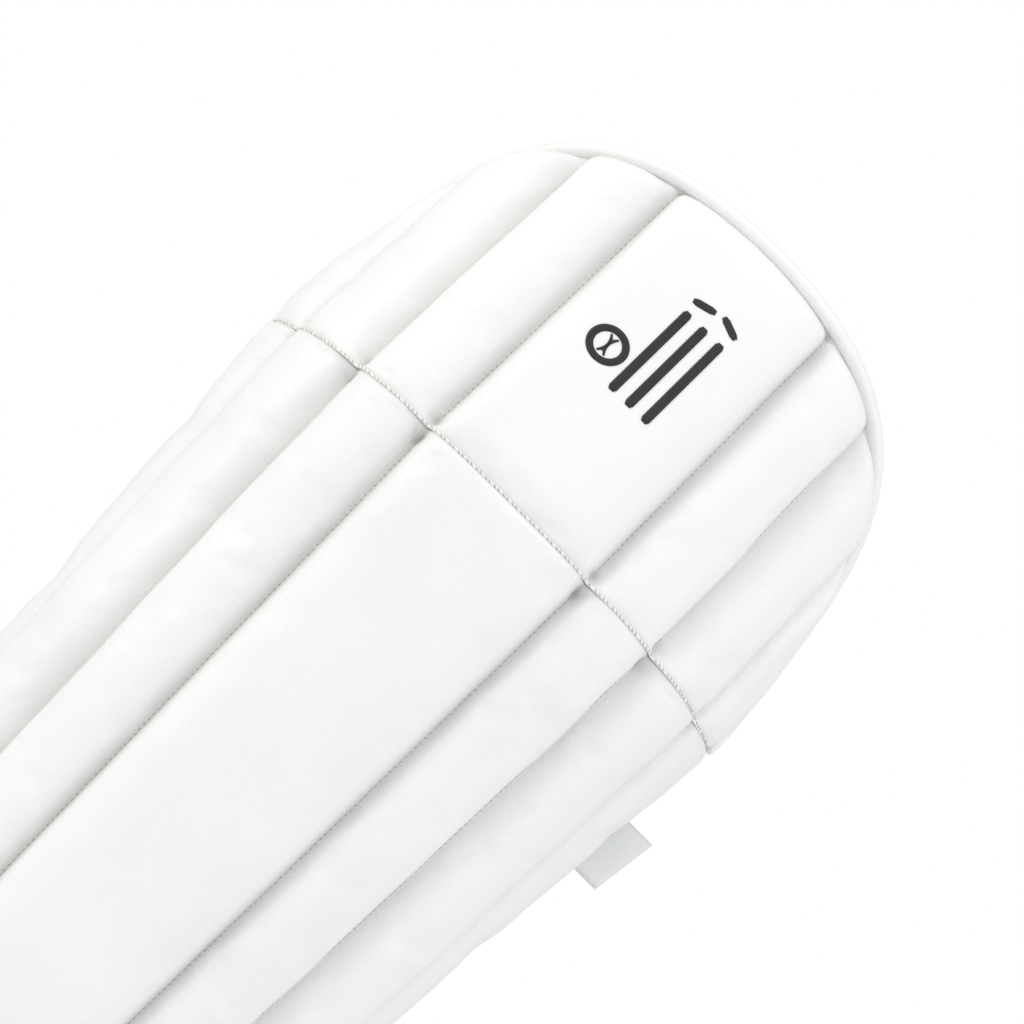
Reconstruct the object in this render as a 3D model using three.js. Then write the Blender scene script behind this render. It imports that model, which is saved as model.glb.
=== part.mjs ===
// A wicket keeper's leg pad: quilted knee, shin and instep sections, two wings and three straps.
// Millimetres. X runs across the pad, +Y points back towards the leg, +Z is up. The pad stands on Z = 0.
//
// Every piece is drawn on the flat pattern and then wrapped round the leg. On the pattern, s runs across
// the pad from its centre line, t stands out from the front face of the backing board, and the height is
// measured up the section. Rows say at which heights a piece is subdivided.
import * as THREE from "three";

const DEG = Math.PI / 180;

// Heights of the two flexing seams, and the knee section's length above its seam.
const KNEE_SEAM = 455;
const INSTEP_SEAM = 95;
const KNEE_LENGTH = 170;

// The knee section leans back over the kneecap and the instep flares forward over the boot by the same angle.
const LEAN = 12 * DEG;
const MITRE = LEAN / 2;
const KNEE_FLEX = 24 * DEG; // wedge left behind the knee seam, so the section can flex back
const SEAM_GAP = 1.5; // from a flexing seam to the first padding
const COVER_GAP = 1; // from a flexing seam to the facing

// Plan view of the backing board's front face: arcs end to end.
const CENTRE_RADIUS = 300;
const SIDE_RADIUS = 98;
const FOLD_START = 108;
const FOLD_END = 132;
const WING_BEND_START = 150;
const WING_BEND_END = 172;
const WING_ANGLE = 100 * DEG;
const SEAM_SCALE = 1.055; // width of the plan at the knee seam, as a share of the pattern's
const ANKLE_SCALE = 0.89;
const KNEE_TAPER = 0.04; // share of its width that the knee section loses to its top
const ANKLE_FOLD = 30 * DEG; // extra turn of the edge panels at the ankle

// Sewn seams between the quilted panels, out from the centre line, and each panel's crest. Slack is how much
// further the facing stands off a panel's padding.
const PANELS = [
  { name: "inner", from: 44, to: 82, crest: 18 },
  { name: "outer", from: 82, to: 120, crest: 17 },
  { name: "edge", from: 120, to: 157, crest: 12, slack: 1.6 },
];
const CENTRE_HALF = 44;
const CENTRE_CREST = 20;
const EDGE = 157;
const KNEE_EDGE = 151;
const STATIONS = [0, 22, 44, 57, 70, 82, 95, 108, 114, 120, 126, 132, 141, 151, 157];

// Thickness of the layers, in t.
const PADDING_BASE = 1;
const PADDING_WALL = 3;
const PADDING_SIDE_GAP = 3.2; // from the sewn seam to the padding inside it
const FACING = 1.2;
const FACING_CLEARANCE = 1.4;
const FACING_SEAM_T = 0.5;
const BOARD_T = [-5, 0];
const LINING_T = [-7.2, -5.9];
const BOLSTER_T = -7.8;
// Share of the full thickness that is left at the first, second and third row from a seam or a rim.
const END_SHARES = [0.35, 0.75, 1];

// Wings, straps and their patches.
const WING = { from: 161, width: 54, bottom: 72, top: 425, t: [-6, 1], round: 40 };
const BINDING_RADIUS = 4;
const STRAP_THICKNESS = 2.2;
const STRAP_BULGE = 45;
const TAIL_LENGTH = 44;
const STRAP_STEPS = 20; // along a whole strap
const TAIL_STEPS = 4; // of those, along its straight tail
const STRAPS = [
  { name: "upper", z: 372, width: 50 },
  { name: "middle", z: 262, width: 50 },
  { name: "ankle", z: 132, width: 38 },
];
const CANE_RADIUS = 4.2;
const CANE_HOLE = 4.8;
const CANE_T = 8.2;
const CANE_END = 26;

// Instep arch over the boot.
const ARCH_RISE = 24;
const HEM = { height: 4, t: [-6.5, 7] };

const COLOURS = {
  facing: { color: 0xf4f4f2, roughness: 0.45 },
  padding: { color: 0xe9e6dc, roughness: 0.9 },
  cane: { color: 0xc9a46a, roughness: 0.6 },
  board: { color: 0xd8dadb, roughness: 0.8 },
  lining: { color: 0xeeeeea, roughness: 0.95 },
  webbing: { color: 0xf0f0ee, roughness: 0.85 },
  hook: { color: 0xdadad6, roughness: 0.95 },
  loop: { color: 0xf2f2f0, roughness: 1 },
  label: { color: 0xe4e6e8, roughness: 0.7 },
};

const clamp01 = (v) => Math.min(1, Math.max(0, v));
const lerp = (a, b, f) => a + (b - a) * f;

// ---------------------------------------------------------------------------------------------------------
// The wrapped surface

// Plan position of a point (s, t) of the pattern, on a section scaled by `scale`, its edge panels
// turned by `fold`.
function plan(s, t, scale, fold) {
  const side = 1 / SIDE_RADIUS;
  const beforeWing =
    CENTRE_HALF / CENTRE_RADIUS + (WING_BEND_START - CENTRE_HALF) * side + fold;
  const arcs = [
    [CENTRE_HALF, 1 / CENTRE_RADIUS],
    [FOLD_START, side],
    [FOLD_END, side + fold / (FOLD_END - FOLD_START)],
    [WING_BEND_START, side],
    [WING_BEND_END, (WING_ANGLE - beforeWing) / (WING_BEND_END - WING_BEND_START)],
    [Infinity, 0],
  ];
  const reach = Math.abs(s);
  let [x, y, angle, start] = [0, 0, 0, 0];
  for (const [end, curve] of arcs) {
    const length = Math.min(reach, end) - start;
    if (length <= 0) {
      break;
    }
    const next = angle + curve * length;
    if (Math.abs(curve) < 1e-9) {
      x += length * Math.cos(angle);
      y += length * Math.sin(angle);
    } else {
      x += (Math.sin(next) - Math.sin(angle)) / curve;
      y += (Math.cos(angle) - Math.cos(next)) / curve;
    }
    angle = next;
    start = end;
  }
  const out = { x: x * scale + t * Math.sin(angle), y: y * scale - t * Math.cos(angle) };
  return { x: s < 0 ? -out.x : out.x, y: out.y };
}

// Thickness at a row that keeps a share of the full padding.
const thinned = (t, share) => (t > PADDING_BASE ? PADDING_BASE + (t - PADDING_BASE) * share : t);

const shinDepth = (z) => (KNEE_SEAM - z) / (KNEE_SEAM - INSTEP_SEAM);
const shinScale = (z) => lerp(SEAM_SCALE, ANKLE_SCALE, Math.max(0, shinDepth(z)) ** 1.2);
const shinFold = (z) => ANKLE_FOLD * (1 - (1 - clamp01(shinDepth(z))) ** 2);

// A point of the shin section. A row gives its height from the plan y, as both seams are cut on a slant,
// and the share of the thickness that is left there.
function shinPoint(s, t, row) {
  const thick = thinned(t, row.share);
  let at = plan(s, thick, shinScale(row.at(0)), shinFold(row.at(0)));
  for (let pass = 0; pass < 2; pass++) {
    const z = row.at(at.y);
    at = plan(s, thick, shinScale(z), shinFold(z));
  }
  return new THREE.Vector3(at.x, at.y, row.at(at.y));
}
const kneeSeamAt = (y) => KNEE_SEAM - y * Math.tan(MITRE);
const instepSeamAt = (y) => INSTEP_SEAM - y * Math.tan(MITRE);

// A point of the shin section with no thinning at its ends, for boards, wings and straps.
function shinPlain(s, t, z) {
  const at = plan(s, t, shinScale(z), shinFold(z));
  return new THREE.Vector3(at.x, at.y, z);
}

// Turns a point of a leaning section about its seam, from the section's own upright frame.
function leaned(at, height, seam) {
  return new THREE.Vector3(
    at.x,
    at.y * Math.cos(LEAN) + height * Math.sin(LEAN),
    seam - at.y * Math.sin(LEAN) + height * Math.cos(LEAN),
  );
}

// The knee section's rim on the pattern: its height above the seam at s, pulled in by `inset`.
const RIM = new THREE.CubicBezierCurve(
  new THREE.Vector2(158, 4),
  new THREE.Vector2(154, 112),
  new THREE.Vector2(110, KNEE_LENGTH),
  new THREE.Vector2(0, KNEE_LENGTH),
);
function rimHeight(s, inset) {
  const wanted = Math.min(Math.abs(s) * (158 / (158 - inset)), 158);
  let [low, high] = [0, 1];
  for (let i = 0; i < 30; i++) {
    const mid = (low + high) / 2;
    [low, high] = RIM.getPoint(mid).x > wanted ? [mid, high] : [low, mid];
  }
  return RIM.getPoint(low).y * ((KNEE_LENGTH - inset) / KNEE_LENGTH);
}

const kneeScale = (height) => SEAM_SCALE * (1 - KNEE_TAPER * (height / KNEE_LENGTH));

// A point of the knee section, whose rows are heights above the seam.
function kneePoint(s, t, row) {
  const thick = thinned(t, row.share);
  let at = plan(s, thick, 1, 0);
  for (let pass = 0; pass < 3; pass++) {
    at = plan(s, thick, kneeScale(row.at(at.y, s)), 0);
  }
  return leaned(at, row.at(at.y, s), KNEE_SEAM);
}

// A point of the instep section, which keeps the ankle's plan.
function instepPoint(s, t, row) {
  const at = plan(s, thinned(t, row.share), ANKLE_SCALE, ANKLE_FOLD);
  return leaned(at, row.at(at.y, s), INSTEP_SEAM);
}
// Height, in the instep's own frame, of the level plane `above` the edge of the arch over the boot.
function instepFloor(y, s, above) {
  const [from, to] = [PANELS[0].from, PANELS[0].to];
  const arch = ARCH_RISE * clamp01((to - Math.abs(s)) / (to - from));
  return (y * Math.sin(LEAN) - INSTEP_SEAM + arch + above) / Math.cos(LEAN);
}

// ---------------------------------------------------------------------------------------------------------
// Rows: the heights at which each kind of piece is subdivided, and the share of the thickness left there

const [RIM_SHARE, NEAR_SHARE, FULL_SHARE] = END_SHARES;
const LEVELS = [185, 275, 365]; // shared by all pieces of the shin, so that they nest
const wedge = Math.tan(KNEE_FLEX / 2);
const rowOf = (share) => (at) => ({ at, share });
const [rim, near, full] = [RIM_SHARE, NEAR_SHARE, FULL_SHARE].map(rowOf);

const shinTop = (y, d) => kneeSeamAt(y) - SEAM_GAP - Math.max(0, y) * wedge - d;
const shinFoot = (y, d) => instepSeamAt(y) + SEAM_GAP + d;
const levelRows = LEVELS.map((z) => full(() => z));
const shinInnerRows = [
  near((y) => shinFoot(y, 6)),
  full((y) => shinFoot(y, 16)),
  ...levelRows,
  full((y) => shinTop(y, 16)),
  near((y) => shinTop(y, 6)),
];
const shinPaddingRows = [rim((y) => shinFoot(y, 0)), ...shinInnerRows, rim((y) => shinTop(y, 0))];
const shinCoverRows = [
  rim((y) => instepSeamAt(y) + COVER_GAP),
  ...shinInnerRows,
  rim((y) => kneeSeamAt(y) - COVER_GAP),
];
const shinBoardRows = [full((y) => shinFoot(y, 1)), ...levelRows, full((y) => shinTop(y, 1))];

const KNEE_INSET = 8; // from the rim's path to the padding
const kneeFoot = (y, d) => y * Math.tan(MITRE) + SEAM_GAP + Math.max(0, y) * wedge + d;
const kneeAt = (f) => (y, s) => {
  const foot = kneeFoot(y, 0);
  return lerp(foot, Math.max(rimHeight(s, KNEE_INSET), foot + 4), f);
};
const kneeInnerRows = [
  near(kneeAt(0.05)),
  full(kneeAt(0.13)),
  full(kneeAt(0.42)),
  full(kneeAt(0.7)),
  full(kneeAt(0.87)),
  near(kneeAt(0.95)),
];
const kneePaddingRows = [rim(kneeAt(0)), ...kneeInnerRows, rim(kneeAt(1))];
const kneeCoverRows = [
  rim((y) => y * Math.tan(MITRE) + COVER_GAP),
  ...kneeInnerRows,
  rim((y, s) => Math.max(rimHeight(s, KNEE_INSET - 2), kneeFoot(y, 0) + 6)),
];
const kneeBoardRows = [0, 0.25, 0.5, 0.75, 1].map((f) => full(kneeAt(f)));

const instepAt = (f, above) => (y, s) =>
  lerp(instepFloor(y, s, above), y * Math.tan(MITRE) - SEAM_GAP, f);
const INSTEP_CLEAR = HEM.height + 1.5; // from the floor to the padding
const instepInnerRows = [
  near(instepAt(0.1, INSTEP_CLEAR)),
  full(instepAt(0.25, INSTEP_CLEAR)),
  full(instepAt(0.75, INSTEP_CLEAR)),
  near(instepAt(0.92, INSTEP_CLEAR)),
];
const instepPaddingRows = [
  rim(instepAt(0, INSTEP_CLEAR)),
  ...instepInnerRows,
  rim(instepAt(1, INSTEP_CLEAR)),
];
const instepCoverRows = [
  rim(instepAt(0, HEM.height + 0.6)),
  ...instepInnerRows,
  rim((y) => y * Math.tan(MITRE) - COVER_GAP),
];
const instepBoardRows = [0, 0.5, 1].map((f) => full(instepAt(f, HEM.height + 0.6)));

// ---------------------------------------------------------------------------------------------------------
// Profiles, drawn on the (s, t) plane

// Crown of a padded panel, from one foot to the other: a superellipse, flat on top and round at its sides.
function crown(from, to, foot, crest) {
  const points = to - from > 60 ? 8 : 6;
  const [mid, half] = [(from + to) / 2, (to - from) / 2];
  const square = half > 30 ? 0.32 : 0.62;
  const side = half > 30 ? 0.5 : 0.7;
  return Array.from({ length: points + 1 }, (_, i) => {
    const a = Math.PI * (1 - i / points);
    const [c, n] = [Math.cos(a), Math.sin(a)];
    return new THREE.Vector2(
      mid + half * Math.sign(c) * Math.abs(c) ** square,
      foot + (crest - foot) * Math.abs(n) ** side,
    );
  });
}

// A straight edge from left to right, subdivided at the stations that all pieces share, so that they
// bend alike.
function along(from, to, t) {
  const both = [...STATIONS.map((s) => -s).reverse(), ...STATIONS.slice(1)];
  const between = both.filter((s) => s > from + 1 && s < to - 1);
  return [from, ...between, to].map((s) => new THREE.Vector2(s, t));
}

// A panel's padding between its foot on the board and its crown.
function paddingLayers({ from, to, crest, slack = 0 }) {
  const [a, b] = [from + PADDING_SIDE_GAP, to - PADDING_SIDE_GAP];
  const outer = crown(a, b, PADDING_WALL, crest - slack);
  return [outer.map((p) => new THREE.Vector2(p.x, PADDING_BASE)), outer];
}

// The same padding as one profile, with a channel for each cane.
function channelledProfile(panel, canes) {
  const [base, outer] = paddingLayers(panel);
  const shape = new THREE.Shape([...base, ...outer.reverse()]);
  for (const s of canes) {
    const hole = new THREE.Path();
    hole.absarc(s, CANE_T, CANE_HOLE, 0, 2 * Math.PI, true);
    shape.holes.push(hole);
  }
  return shape;
}

// The panels of one section from left to right.
function panelsAcross(sides, crest) {
  const right = sides.map((p) => ({ ...p, name: p.name + "_right" }));
  const left = sides.map((p) => ({ ...p, name: p.name + "_left", from: -p.to, to: -p.from }));
  const centre = { name: "centre", from: -CENTRE_HALF, to: CENTRE_HALF, crest };
  return [...left.reverse(), centre, ...right];
}

// The cover: one sheet over all the panels, down to the board at each sewn seam.
function facingLayers(panels) {
  const layer = (inset, foot, rise) =>
    panels.flatMap((p) => crown(p.from + inset, p.to - inset, foot, p.crest + rise));
  return [
    layer(FACING + 0.2, FACING_SEAM_T, FACING_CLEARANCE),
    layer(0.2, 2, FACING_CLEARANCE + FACING),
  ];
}

const sheetLayers = (from, to, [t0, t1]) => [along(from, to, t0), along(from, to, t1)];

// A roll sewn to the lining: flat on the lining and round towards the leg.
function bolsterLayers(from, to, thickness) {
  const back = crown(from, to, BOLSTER_T - 2, BOLSTER_T - thickness);
  return [back, back.map((p) => new THREE.Vector2(p.x, BOLSTER_T))];
}

// ---------------------------------------------------------------------------------------------------------
// Building solids

const pad = new THREE.Group();

function add(name, geometry, colour) {
  const mesh = new THREE.Mesh(geometry, new THREE.MeshStandardMaterial(COLOURS[colour]));
  mesh.name = name;
  pad.add(mesh);
  return mesh;
}

// Extrudes a profile through its rows and wraps each vertex with `point`.
function quilted(shape, rows, point) {
  const steps = rows.length - 1;
  const made = new THREE.ExtrudeGeometry(shape, {
    depth: 1,
    steps,
    bevelEnabled: false,
    curveSegments: 4,
  });
  return wrapped(made, (v) => point(v.x, v.y, rows[Math.round(v.z * steps)]));
}

// A solid between an inner and an outer line of the pattern that have equally many points.
function layered([inner, outer], rows, point) {
  const [across, up] = [inner.length - 1, rows.length - 1];
  return slab((u, v, w) => {
    const { x, y } = (w < 0.5 ? inner : outer)[Math.round(u * across)];
    return point(x, y, rows[Math.round(v * up)]);
  }, across, up);
}

function wrapped(geometry, place) {
  const positions = geometry.getAttribute("position");
  const v = new THREE.Vector3();
  for (let i = 0; i < positions.count; i++) {
    const at = place(v.fromBufferAttribute(positions, i));
    positions.setXYZ(i, at.x, at.y, at.z);
  }
  return outward(geometry);
}

// Turns the faces over where the wrapping has left them facing in.
function outward(geometry) {
  const flat = geometry.index ? geometry.toNonIndexed() : geometry;
  const p = flat.getAttribute("position");
  const [a, b, c] = [new THREE.Vector3(), new THREE.Vector3(), new THREE.Vector3()];
  let volume = 0;
  for (let i = 0; i < p.count; i += 3) {
    a.fromBufferAttribute(p, i);
    b.fromBufferAttribute(p, i + 1);
    c.fromBufferAttribute(p, i + 2);
    volume += a.dot(b.cross(c));
  }
  if (volume > 0) return flat;
  for (let i = 0; i < p.count; i += 3) {
    b.fromBufferAttribute(p, i + 1);
    c.fromBufferAttribute(p, i + 2);
    p.setXYZ(i + 1, c.x, c.y, c.z);
    p.setXYZ(i + 2, b.x, b.y, b.z);
  }
  return flat;
}

// A slab whose three unit directions are mapped by `place(u, v, w)`.
function slab(place, nu, nv, nw = 1) {
  const box = new THREE.BoxGeometry(1, 1, 1, nu, nv, nw);
  return wrapped(box, (p) => place(p.x + 0.5, p.y + 0.5, p.z + 0.5));
}

// A round cord along a curve through the given points, with eight sides.
function piping(points, radius, steps) {
  const section = new THREE.Shape();
  section.absarc(0, 0, radius, 0, 2 * Math.PI);
  return new THREE.ExtrudeGeometry(section, {
    steps,
    curveSegments: 4,
    extrudePath: new THREE.CatmullRomCurve3(points, false, "centripetal"),
  });
}

// ---------------------------------------------------------------------------------------------------------
// Quilted sections

function addSection(section, panels, point, rows, canesOf) {
  for (const p of panels) {
    const canes = canesOf(p);
    const padding = canes.length
      ? quilted(channelledProfile(p, canes.map((c) => c.s)), rows, point)
      : layered(paddingLayers(p), rows, point);
    add(`${section}_padding_${p.name}`, padding, "padding");
    canes.forEach(addCane);
  }
}

// A cane rod of the shin, inside its padding.
function addCane({ name, s }) {
  const rod = new THREE.Shape();
  rod.absarc(s, CANE_T, CANE_RADIUS, 0, 2 * Math.PI);
  const rows = [full((y) => shinFoot(y, CANE_END)), ...levelRows, full((y) => shinTop(y, CANE_END))];
  add(name, quilted(rod, rows, shinPoint), "cane");
}

function shinCanes(p) {
  if (p.name === "centre")
    return [-26, 0, 26].map((s, i) => ({ name: "cane_centre_" + (i + 1), s }));
  if (p.name.startsWith("edge")) return [];
  return [{ name: "cane_" + p.name, s: (p.from + p.to) / 2 }];
}

const shinPanels = panelsAcross(PANELS, CENTRE_CREST);
addSection("shin", shinPanels, shinPoint, shinPaddingRows, shinCanes);
add("shin_facing", layered(facingLayers(shinPanels), shinCoverRows, shinPoint), "facing");
const shinBoard = sheetLayers(-EDGE, EDGE, BOARD_T);
add("shin_backing_board", layered(shinBoard, shinBoardRows, shinPoint), "board");
const shinLining = sheetLayers(-EDGE, EDGE, LINING_T);
add("shin_lining", layered(shinLining, shinBoardRows, shinPoint), "lining");

const kneePanels = panelsAcross(
  PANELS.map((p) => ({ ...p, to: Math.min(p.to, KNEE_EDGE) })),
  CENTRE_CREST,
);
addSection("knee", kneePanels, kneePoint, kneePaddingRows, () => []);
add("knee_facing", layered(facingLayers(kneePanels), kneeCoverRows, kneePoint), "facing");
const kneeBoard = sheetLayers(-KNEE_EDGE, KNEE_EDGE, BOARD_T);
add("knee_backing_board", layered(kneeBoard, kneeBoardRows, kneePoint), "board");
const kneeLining = sheetLayers(-KNEE_EDGE, KNEE_EDGE, LINING_T);
add("knee_lining", layered(kneeLining, kneeBoardRows, kneePoint), "lining");

const instepPanels = panelsAcross(
  [
    { name: "inner", from: 44, to: 82, crest: 15 },
    { name: "outer", from: 82, to: 120, crest: 14 },
    { name: "edge", from: 120, to: EDGE, crest: 10 },
  ],
  16,
);
addSection("instep", instepPanels, instepPoint, instepPaddingRows, () => []);
add("instep_facing", layered(facingLayers(instepPanels), instepCoverRows, instepPoint), "facing");
const instepBacking = sheetLayers(-EDGE, EDGE, BOARD_T);
add("instep_backing", layered(instepBacking, instepBoardRows, instepPoint), "lining");

// The hem that closes the bottom edge of the instep, and on which the pad stands.
const hemRows = [0, HEM.height].map((above) => full((y, s) => instepFloor(y, s, above)));
add("instep_hem", layered(sheetLayers(-EDGE, EDGE, HEM.t), hemRows, instepPoint), "facing");

// The piping round the rim of the knee section.
const rimPoints = [];
for (let i = 0; i <= 12; i++) {
  const p = RIM.getPoint(i / 12);
  rimPoints.push(new THREE.Vector2(-p.x, p.y));
}
for (let i = 11; i >= 0; i--) {
  rimPoints.push(RIM.getPoint(i / 12));
}
const rimPath = rimPoints.map((p) => {
  const at = plan(p.x, 1.5, kneeScale(p.y), 0);
  return leaned(at, Math.max(p.y, at.y * Math.tan(MITRE) + 5), KNEE_SEAM);
});
add("knee_piping", piping(rimPath, BINDING_RADIUS, 36), "facing");

// ---------------------------------------------------------------------------------------------------------
// Bolsters on the leg side

function addShinBolster(name, from, to) {
  const rows = [near(() => 150), full(() => 158), ...levelRows, full(() => 378), near(() => 386)];
  const place = (s, t, { at, share }) => shinPlain(s, BOLSTER_T + (t - BOLSTER_T) * share, at(0));
  add(name, layered(bolsterLayers(from, to, 20), rows, place), "lining");
}
addShinBolster("shin_bolster_left", -94, -60);
addShinBolster("shin_bolster_right", 60, 94);

// The bolster across the top of the shin, which sits under the kneecap.
const CROSS_BOLSTER = { z: 408, half: 15, reach: 50, thickness: 17 };
add(
  "knee_rest_bolster",
  slab((u, v, w) => {
    const a = Math.PI * v;
    const s = lerp(-CROSS_BOLSTER.reach, CROSS_BOLSTER.reach, u);
    const t = BOLSTER_T - w * CROSS_BOLSTER.thickness * Math.sin(a) ** 0.6 - w * 0.8;
    return shinPlain(s, t, CROSS_BOLSTER.z - CROSS_BOLSTER.half * Math.cos(a));
  }, 8, 8),
  "lining",
);

function addKneeBolster(name, from, to) {
  const rows = [near(() => 30), full(() => 40), full(() => 90), near(() => 100)];
  const place = (s, t, row) => {
    const height = row.at(0);
    const at = plan(s, BOLSTER_T + (t - BOLSTER_T) * row.share, kneeScale(height), 0);
    return leaned(at, height, KNEE_SEAM);
  };
  add(name, layered(bolsterLayers(from, to, 18), rows, place), "lining");
}
addKneeBolster("knee_bolster_left", -88, -56);
addKneeBolster("knee_bolster_right", 56, 88);

// ---------------------------------------------------------------------------------------------------------
// Wings

// Half ellipse ends give the wing its rounded corners.
function wingReach(z) {
  const end = Math.min(z - WING.bottom, WING.top - z);
  const f = clamp01(end / WING.round);
  return WING.from + WING.width * lerp(0.3, 1, Math.sqrt(1 - (1 - f) ** 2));
}
const WING_CORNER = [0, 6, 18, 40];
const WING_ROWS = [
  ...WING_CORNER.map((d) => WING.bottom + d),
  ...LEVELS,
  ...WING_CORNER.map((d) => WING.top - d).reverse(),
];

for (const [name, sign] of [["left", -1], ["right", 1]]) {
  const wing = slab((u, v, w) => {
    const z = WING_ROWS[Math.round(v * (WING_ROWS.length - 1))];
    return shinPlain(sign * lerp(WING.from, wingReach(z), u), lerp(...WING.t, w), z);
  }, 4, WING_ROWS.length - 1);
  add("wing_" + name, wing, "facing");

  const middle = (WING.t[0] + WING.t[1]) / 2;
  const clear = BINDING_RADIUS + 1.2;
  const edge = WING_ROWS.map((z, i) => {
    const lift = i === 0 ? -clear : i === WING_ROWS.length - 1 ? clear : 0;
    const slant = clear * (1 + 0.6 * (1 - clamp01((Math.min(z - WING.bottom, WING.top - z)) / 30)));
    return shinPlain(sign * (wingReach(z) + slant), middle, z + lift);
  });
  const start = shinPlain(sign * (WING.from + 2), middle, WING.bottom - clear);
  const end = shinPlain(sign * (WING.from + 2), middle, WING.top + clear);
  add("wing_binding_" + name, piping([start, ...edge, end], BINDING_RADIUS, 30), "facing");
}

// The size label, a folded tab caught in the seam between the edge panel and the right wing.
add(
  "label_tab",
  slab((u, v, w) => shinPlain(lerp(158.3, 159.4, u), lerp(0, 26, w), lerp(363, 395, v)), 1, 2),
  "label",
);

// ---------------------------------------------------------------------------------------------------------
// Straps: sewn to the left wing, round the back of the leg and onto the outside of the right wing

const WING_REAR = WING.from + WING.width;
const HINGE_S = WING_REAR + 10; // where the free webbing leaves the left wing's binding
const PATCH_T = WING.t[1] + 1;
const ROOT_T = PATCH_T + STRAP_THICKNESS / 2;
const LOOP_THICKNESS = 1.2;
const HOOK_T = [PATCH_T + LOOP_THICKNESS + 0.5, PATCH_T + LOOP_THICKNESS + 1.7];
const TAIL_T = HOOK_T[1] + 0.4 + STRAP_THICKNESS / 2;
const HINGE_CLEARANCE = 0.3;

// The strap's centre line at one height, from its hinge to its tail.
function strapPath(z) {
  const outwards = new THREE.Vector3(Math.cos(WING_ANGLE), Math.sin(WING_ANGLE), 0);
  const mirrored = new THREE.Vector3(-outwards.x, outwards.y, 0);
  const root = shinPlain(-HINGE_S - HINGE_CLEARANCE, ROOT_T, z);
  const turn = shinPlain(WING_REAR + 6, TAIL_T, z);
  const tail = shinPlain(WING_REAR + 6 - TAIL_LENGTH - 6, TAIL_T, z);
  const path = new THREE.CurvePath();
  path.add(
    new THREE.CubicBezierCurve3(
      root,
      root.clone().addScaledVector(mirrored, STRAP_BULGE),
      turn.clone().addScaledVector(outwards, STRAP_BULGE),
      turn,
    ),
  );
  path.add(new THREE.LineCurve3(turn, tail));
  return path;
}

for (const strap of STRAPS) {
  const [low, high] = [strap.z - strap.width / 2, strap.z + strap.width / 2];
  // Plan points and outward normals of the path at the strap's lower and upper edges.
  const levels = [low, high].map((z) => {
    const [span, tail] = strapPath(z).curves;
    const shares = (n) => Array.from({ length: n }, (_, i) => (i + 1) / n);
    const sample = (curve) => (f) => [curve.getPoint(f), curve.getTangent(f)];
    const spanAt = [0, ...shares(STRAP_STEPS - TAIL_STEPS)].map(sample(span));
    const tailAt = shares(TAIL_STEPS).map(sample(tail));
    return [...spanAt, ...tailAt].map(([p, d]) => ({ p, n: new THREE.Vector3(-d.y, d.x, 0).normalize() }));
  });
  const place = (u, v, w) => {
    const i = Math.round(u * STRAP_STEPS);
    const { p, n } = levels[v < 0.5 ? 0 : 1][i];
    return p.clone().addScaledVector(n, (w - 0.5) * STRAP_THICKNESS);
  };
  add(`strap_${strap.name}_webbing`, slab(place, STRAP_STEPS, 1), "webbing");

  const inset = 3;
  const patch = (s0, s1, t0, t1) =>
    slab(
      (u, v, w) => shinPlain(lerp(s0, s1, u), lerp(t0, t1, w), lerp(low + inset, high - inset, v)),
      1,
      2,
    );
  add(`strap_${strap.name}_hook_patch`, patch(WING_REAR - 40, WING_REAR - 4, ...HOOK_T), "hook");
  add(
    `strap_${strap.name}_loop_patch`,
    patch(WING_REAR - 42, WING_REAR - 3, PATCH_T, PATCH_T + LOOP_THICKNESS),
    "loop",
  );
  const rootTab = slab(
    (u, v, w) =>
      shinPlain(
        -lerp(WING_REAR - 26, HINGE_S - 1.3, u),
        lerp(PATCH_T, PATCH_T + STRAP_THICKNESS, w),
        lerp(low, high, v),
      ),
    1,
    2,
  );
  add(`strap_${strap.name}_root_tab`, rootTab, "webbing");
}

// The frame's origin: the middle of the foot of the whole pad's box.
const box = new THREE.Box3().setFromObject(pad);
const middle = box.getCenter(new THREE.Vector3());
pad.position.set(-middle.x, -middle.y, -box.min.z);

export default pad;
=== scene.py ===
# A wicket keeper's leg pad: the looks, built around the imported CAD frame.
import math

import bmesh
import bpy
import numpy as np
from mathutils import Matrix, Vector
from mathutils.bvhtree import BVHTree


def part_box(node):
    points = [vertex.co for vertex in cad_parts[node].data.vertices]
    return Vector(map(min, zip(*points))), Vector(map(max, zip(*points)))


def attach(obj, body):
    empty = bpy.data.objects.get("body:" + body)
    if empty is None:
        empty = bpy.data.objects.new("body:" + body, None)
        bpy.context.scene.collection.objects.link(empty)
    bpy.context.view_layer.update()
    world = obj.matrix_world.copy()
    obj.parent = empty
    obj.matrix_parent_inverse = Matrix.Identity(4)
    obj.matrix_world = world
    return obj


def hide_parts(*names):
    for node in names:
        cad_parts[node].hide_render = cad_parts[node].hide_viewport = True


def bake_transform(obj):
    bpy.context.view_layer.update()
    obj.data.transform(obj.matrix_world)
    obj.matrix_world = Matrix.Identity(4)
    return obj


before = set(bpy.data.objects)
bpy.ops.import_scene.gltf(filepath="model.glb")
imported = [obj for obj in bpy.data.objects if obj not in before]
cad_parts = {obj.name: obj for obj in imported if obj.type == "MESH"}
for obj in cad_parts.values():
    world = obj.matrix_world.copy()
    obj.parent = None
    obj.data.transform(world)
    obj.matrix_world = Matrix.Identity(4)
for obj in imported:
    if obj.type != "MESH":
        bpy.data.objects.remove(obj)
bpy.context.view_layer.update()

MM = 0.001
DEG = math.pi / 180

# ------------------------------------------------------------
# Driving dimensions, in millimetres. On the flat pattern s runs across the pad from its centre line and t
# stands out from the front of the backing board; heights are measured up each section.

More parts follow.
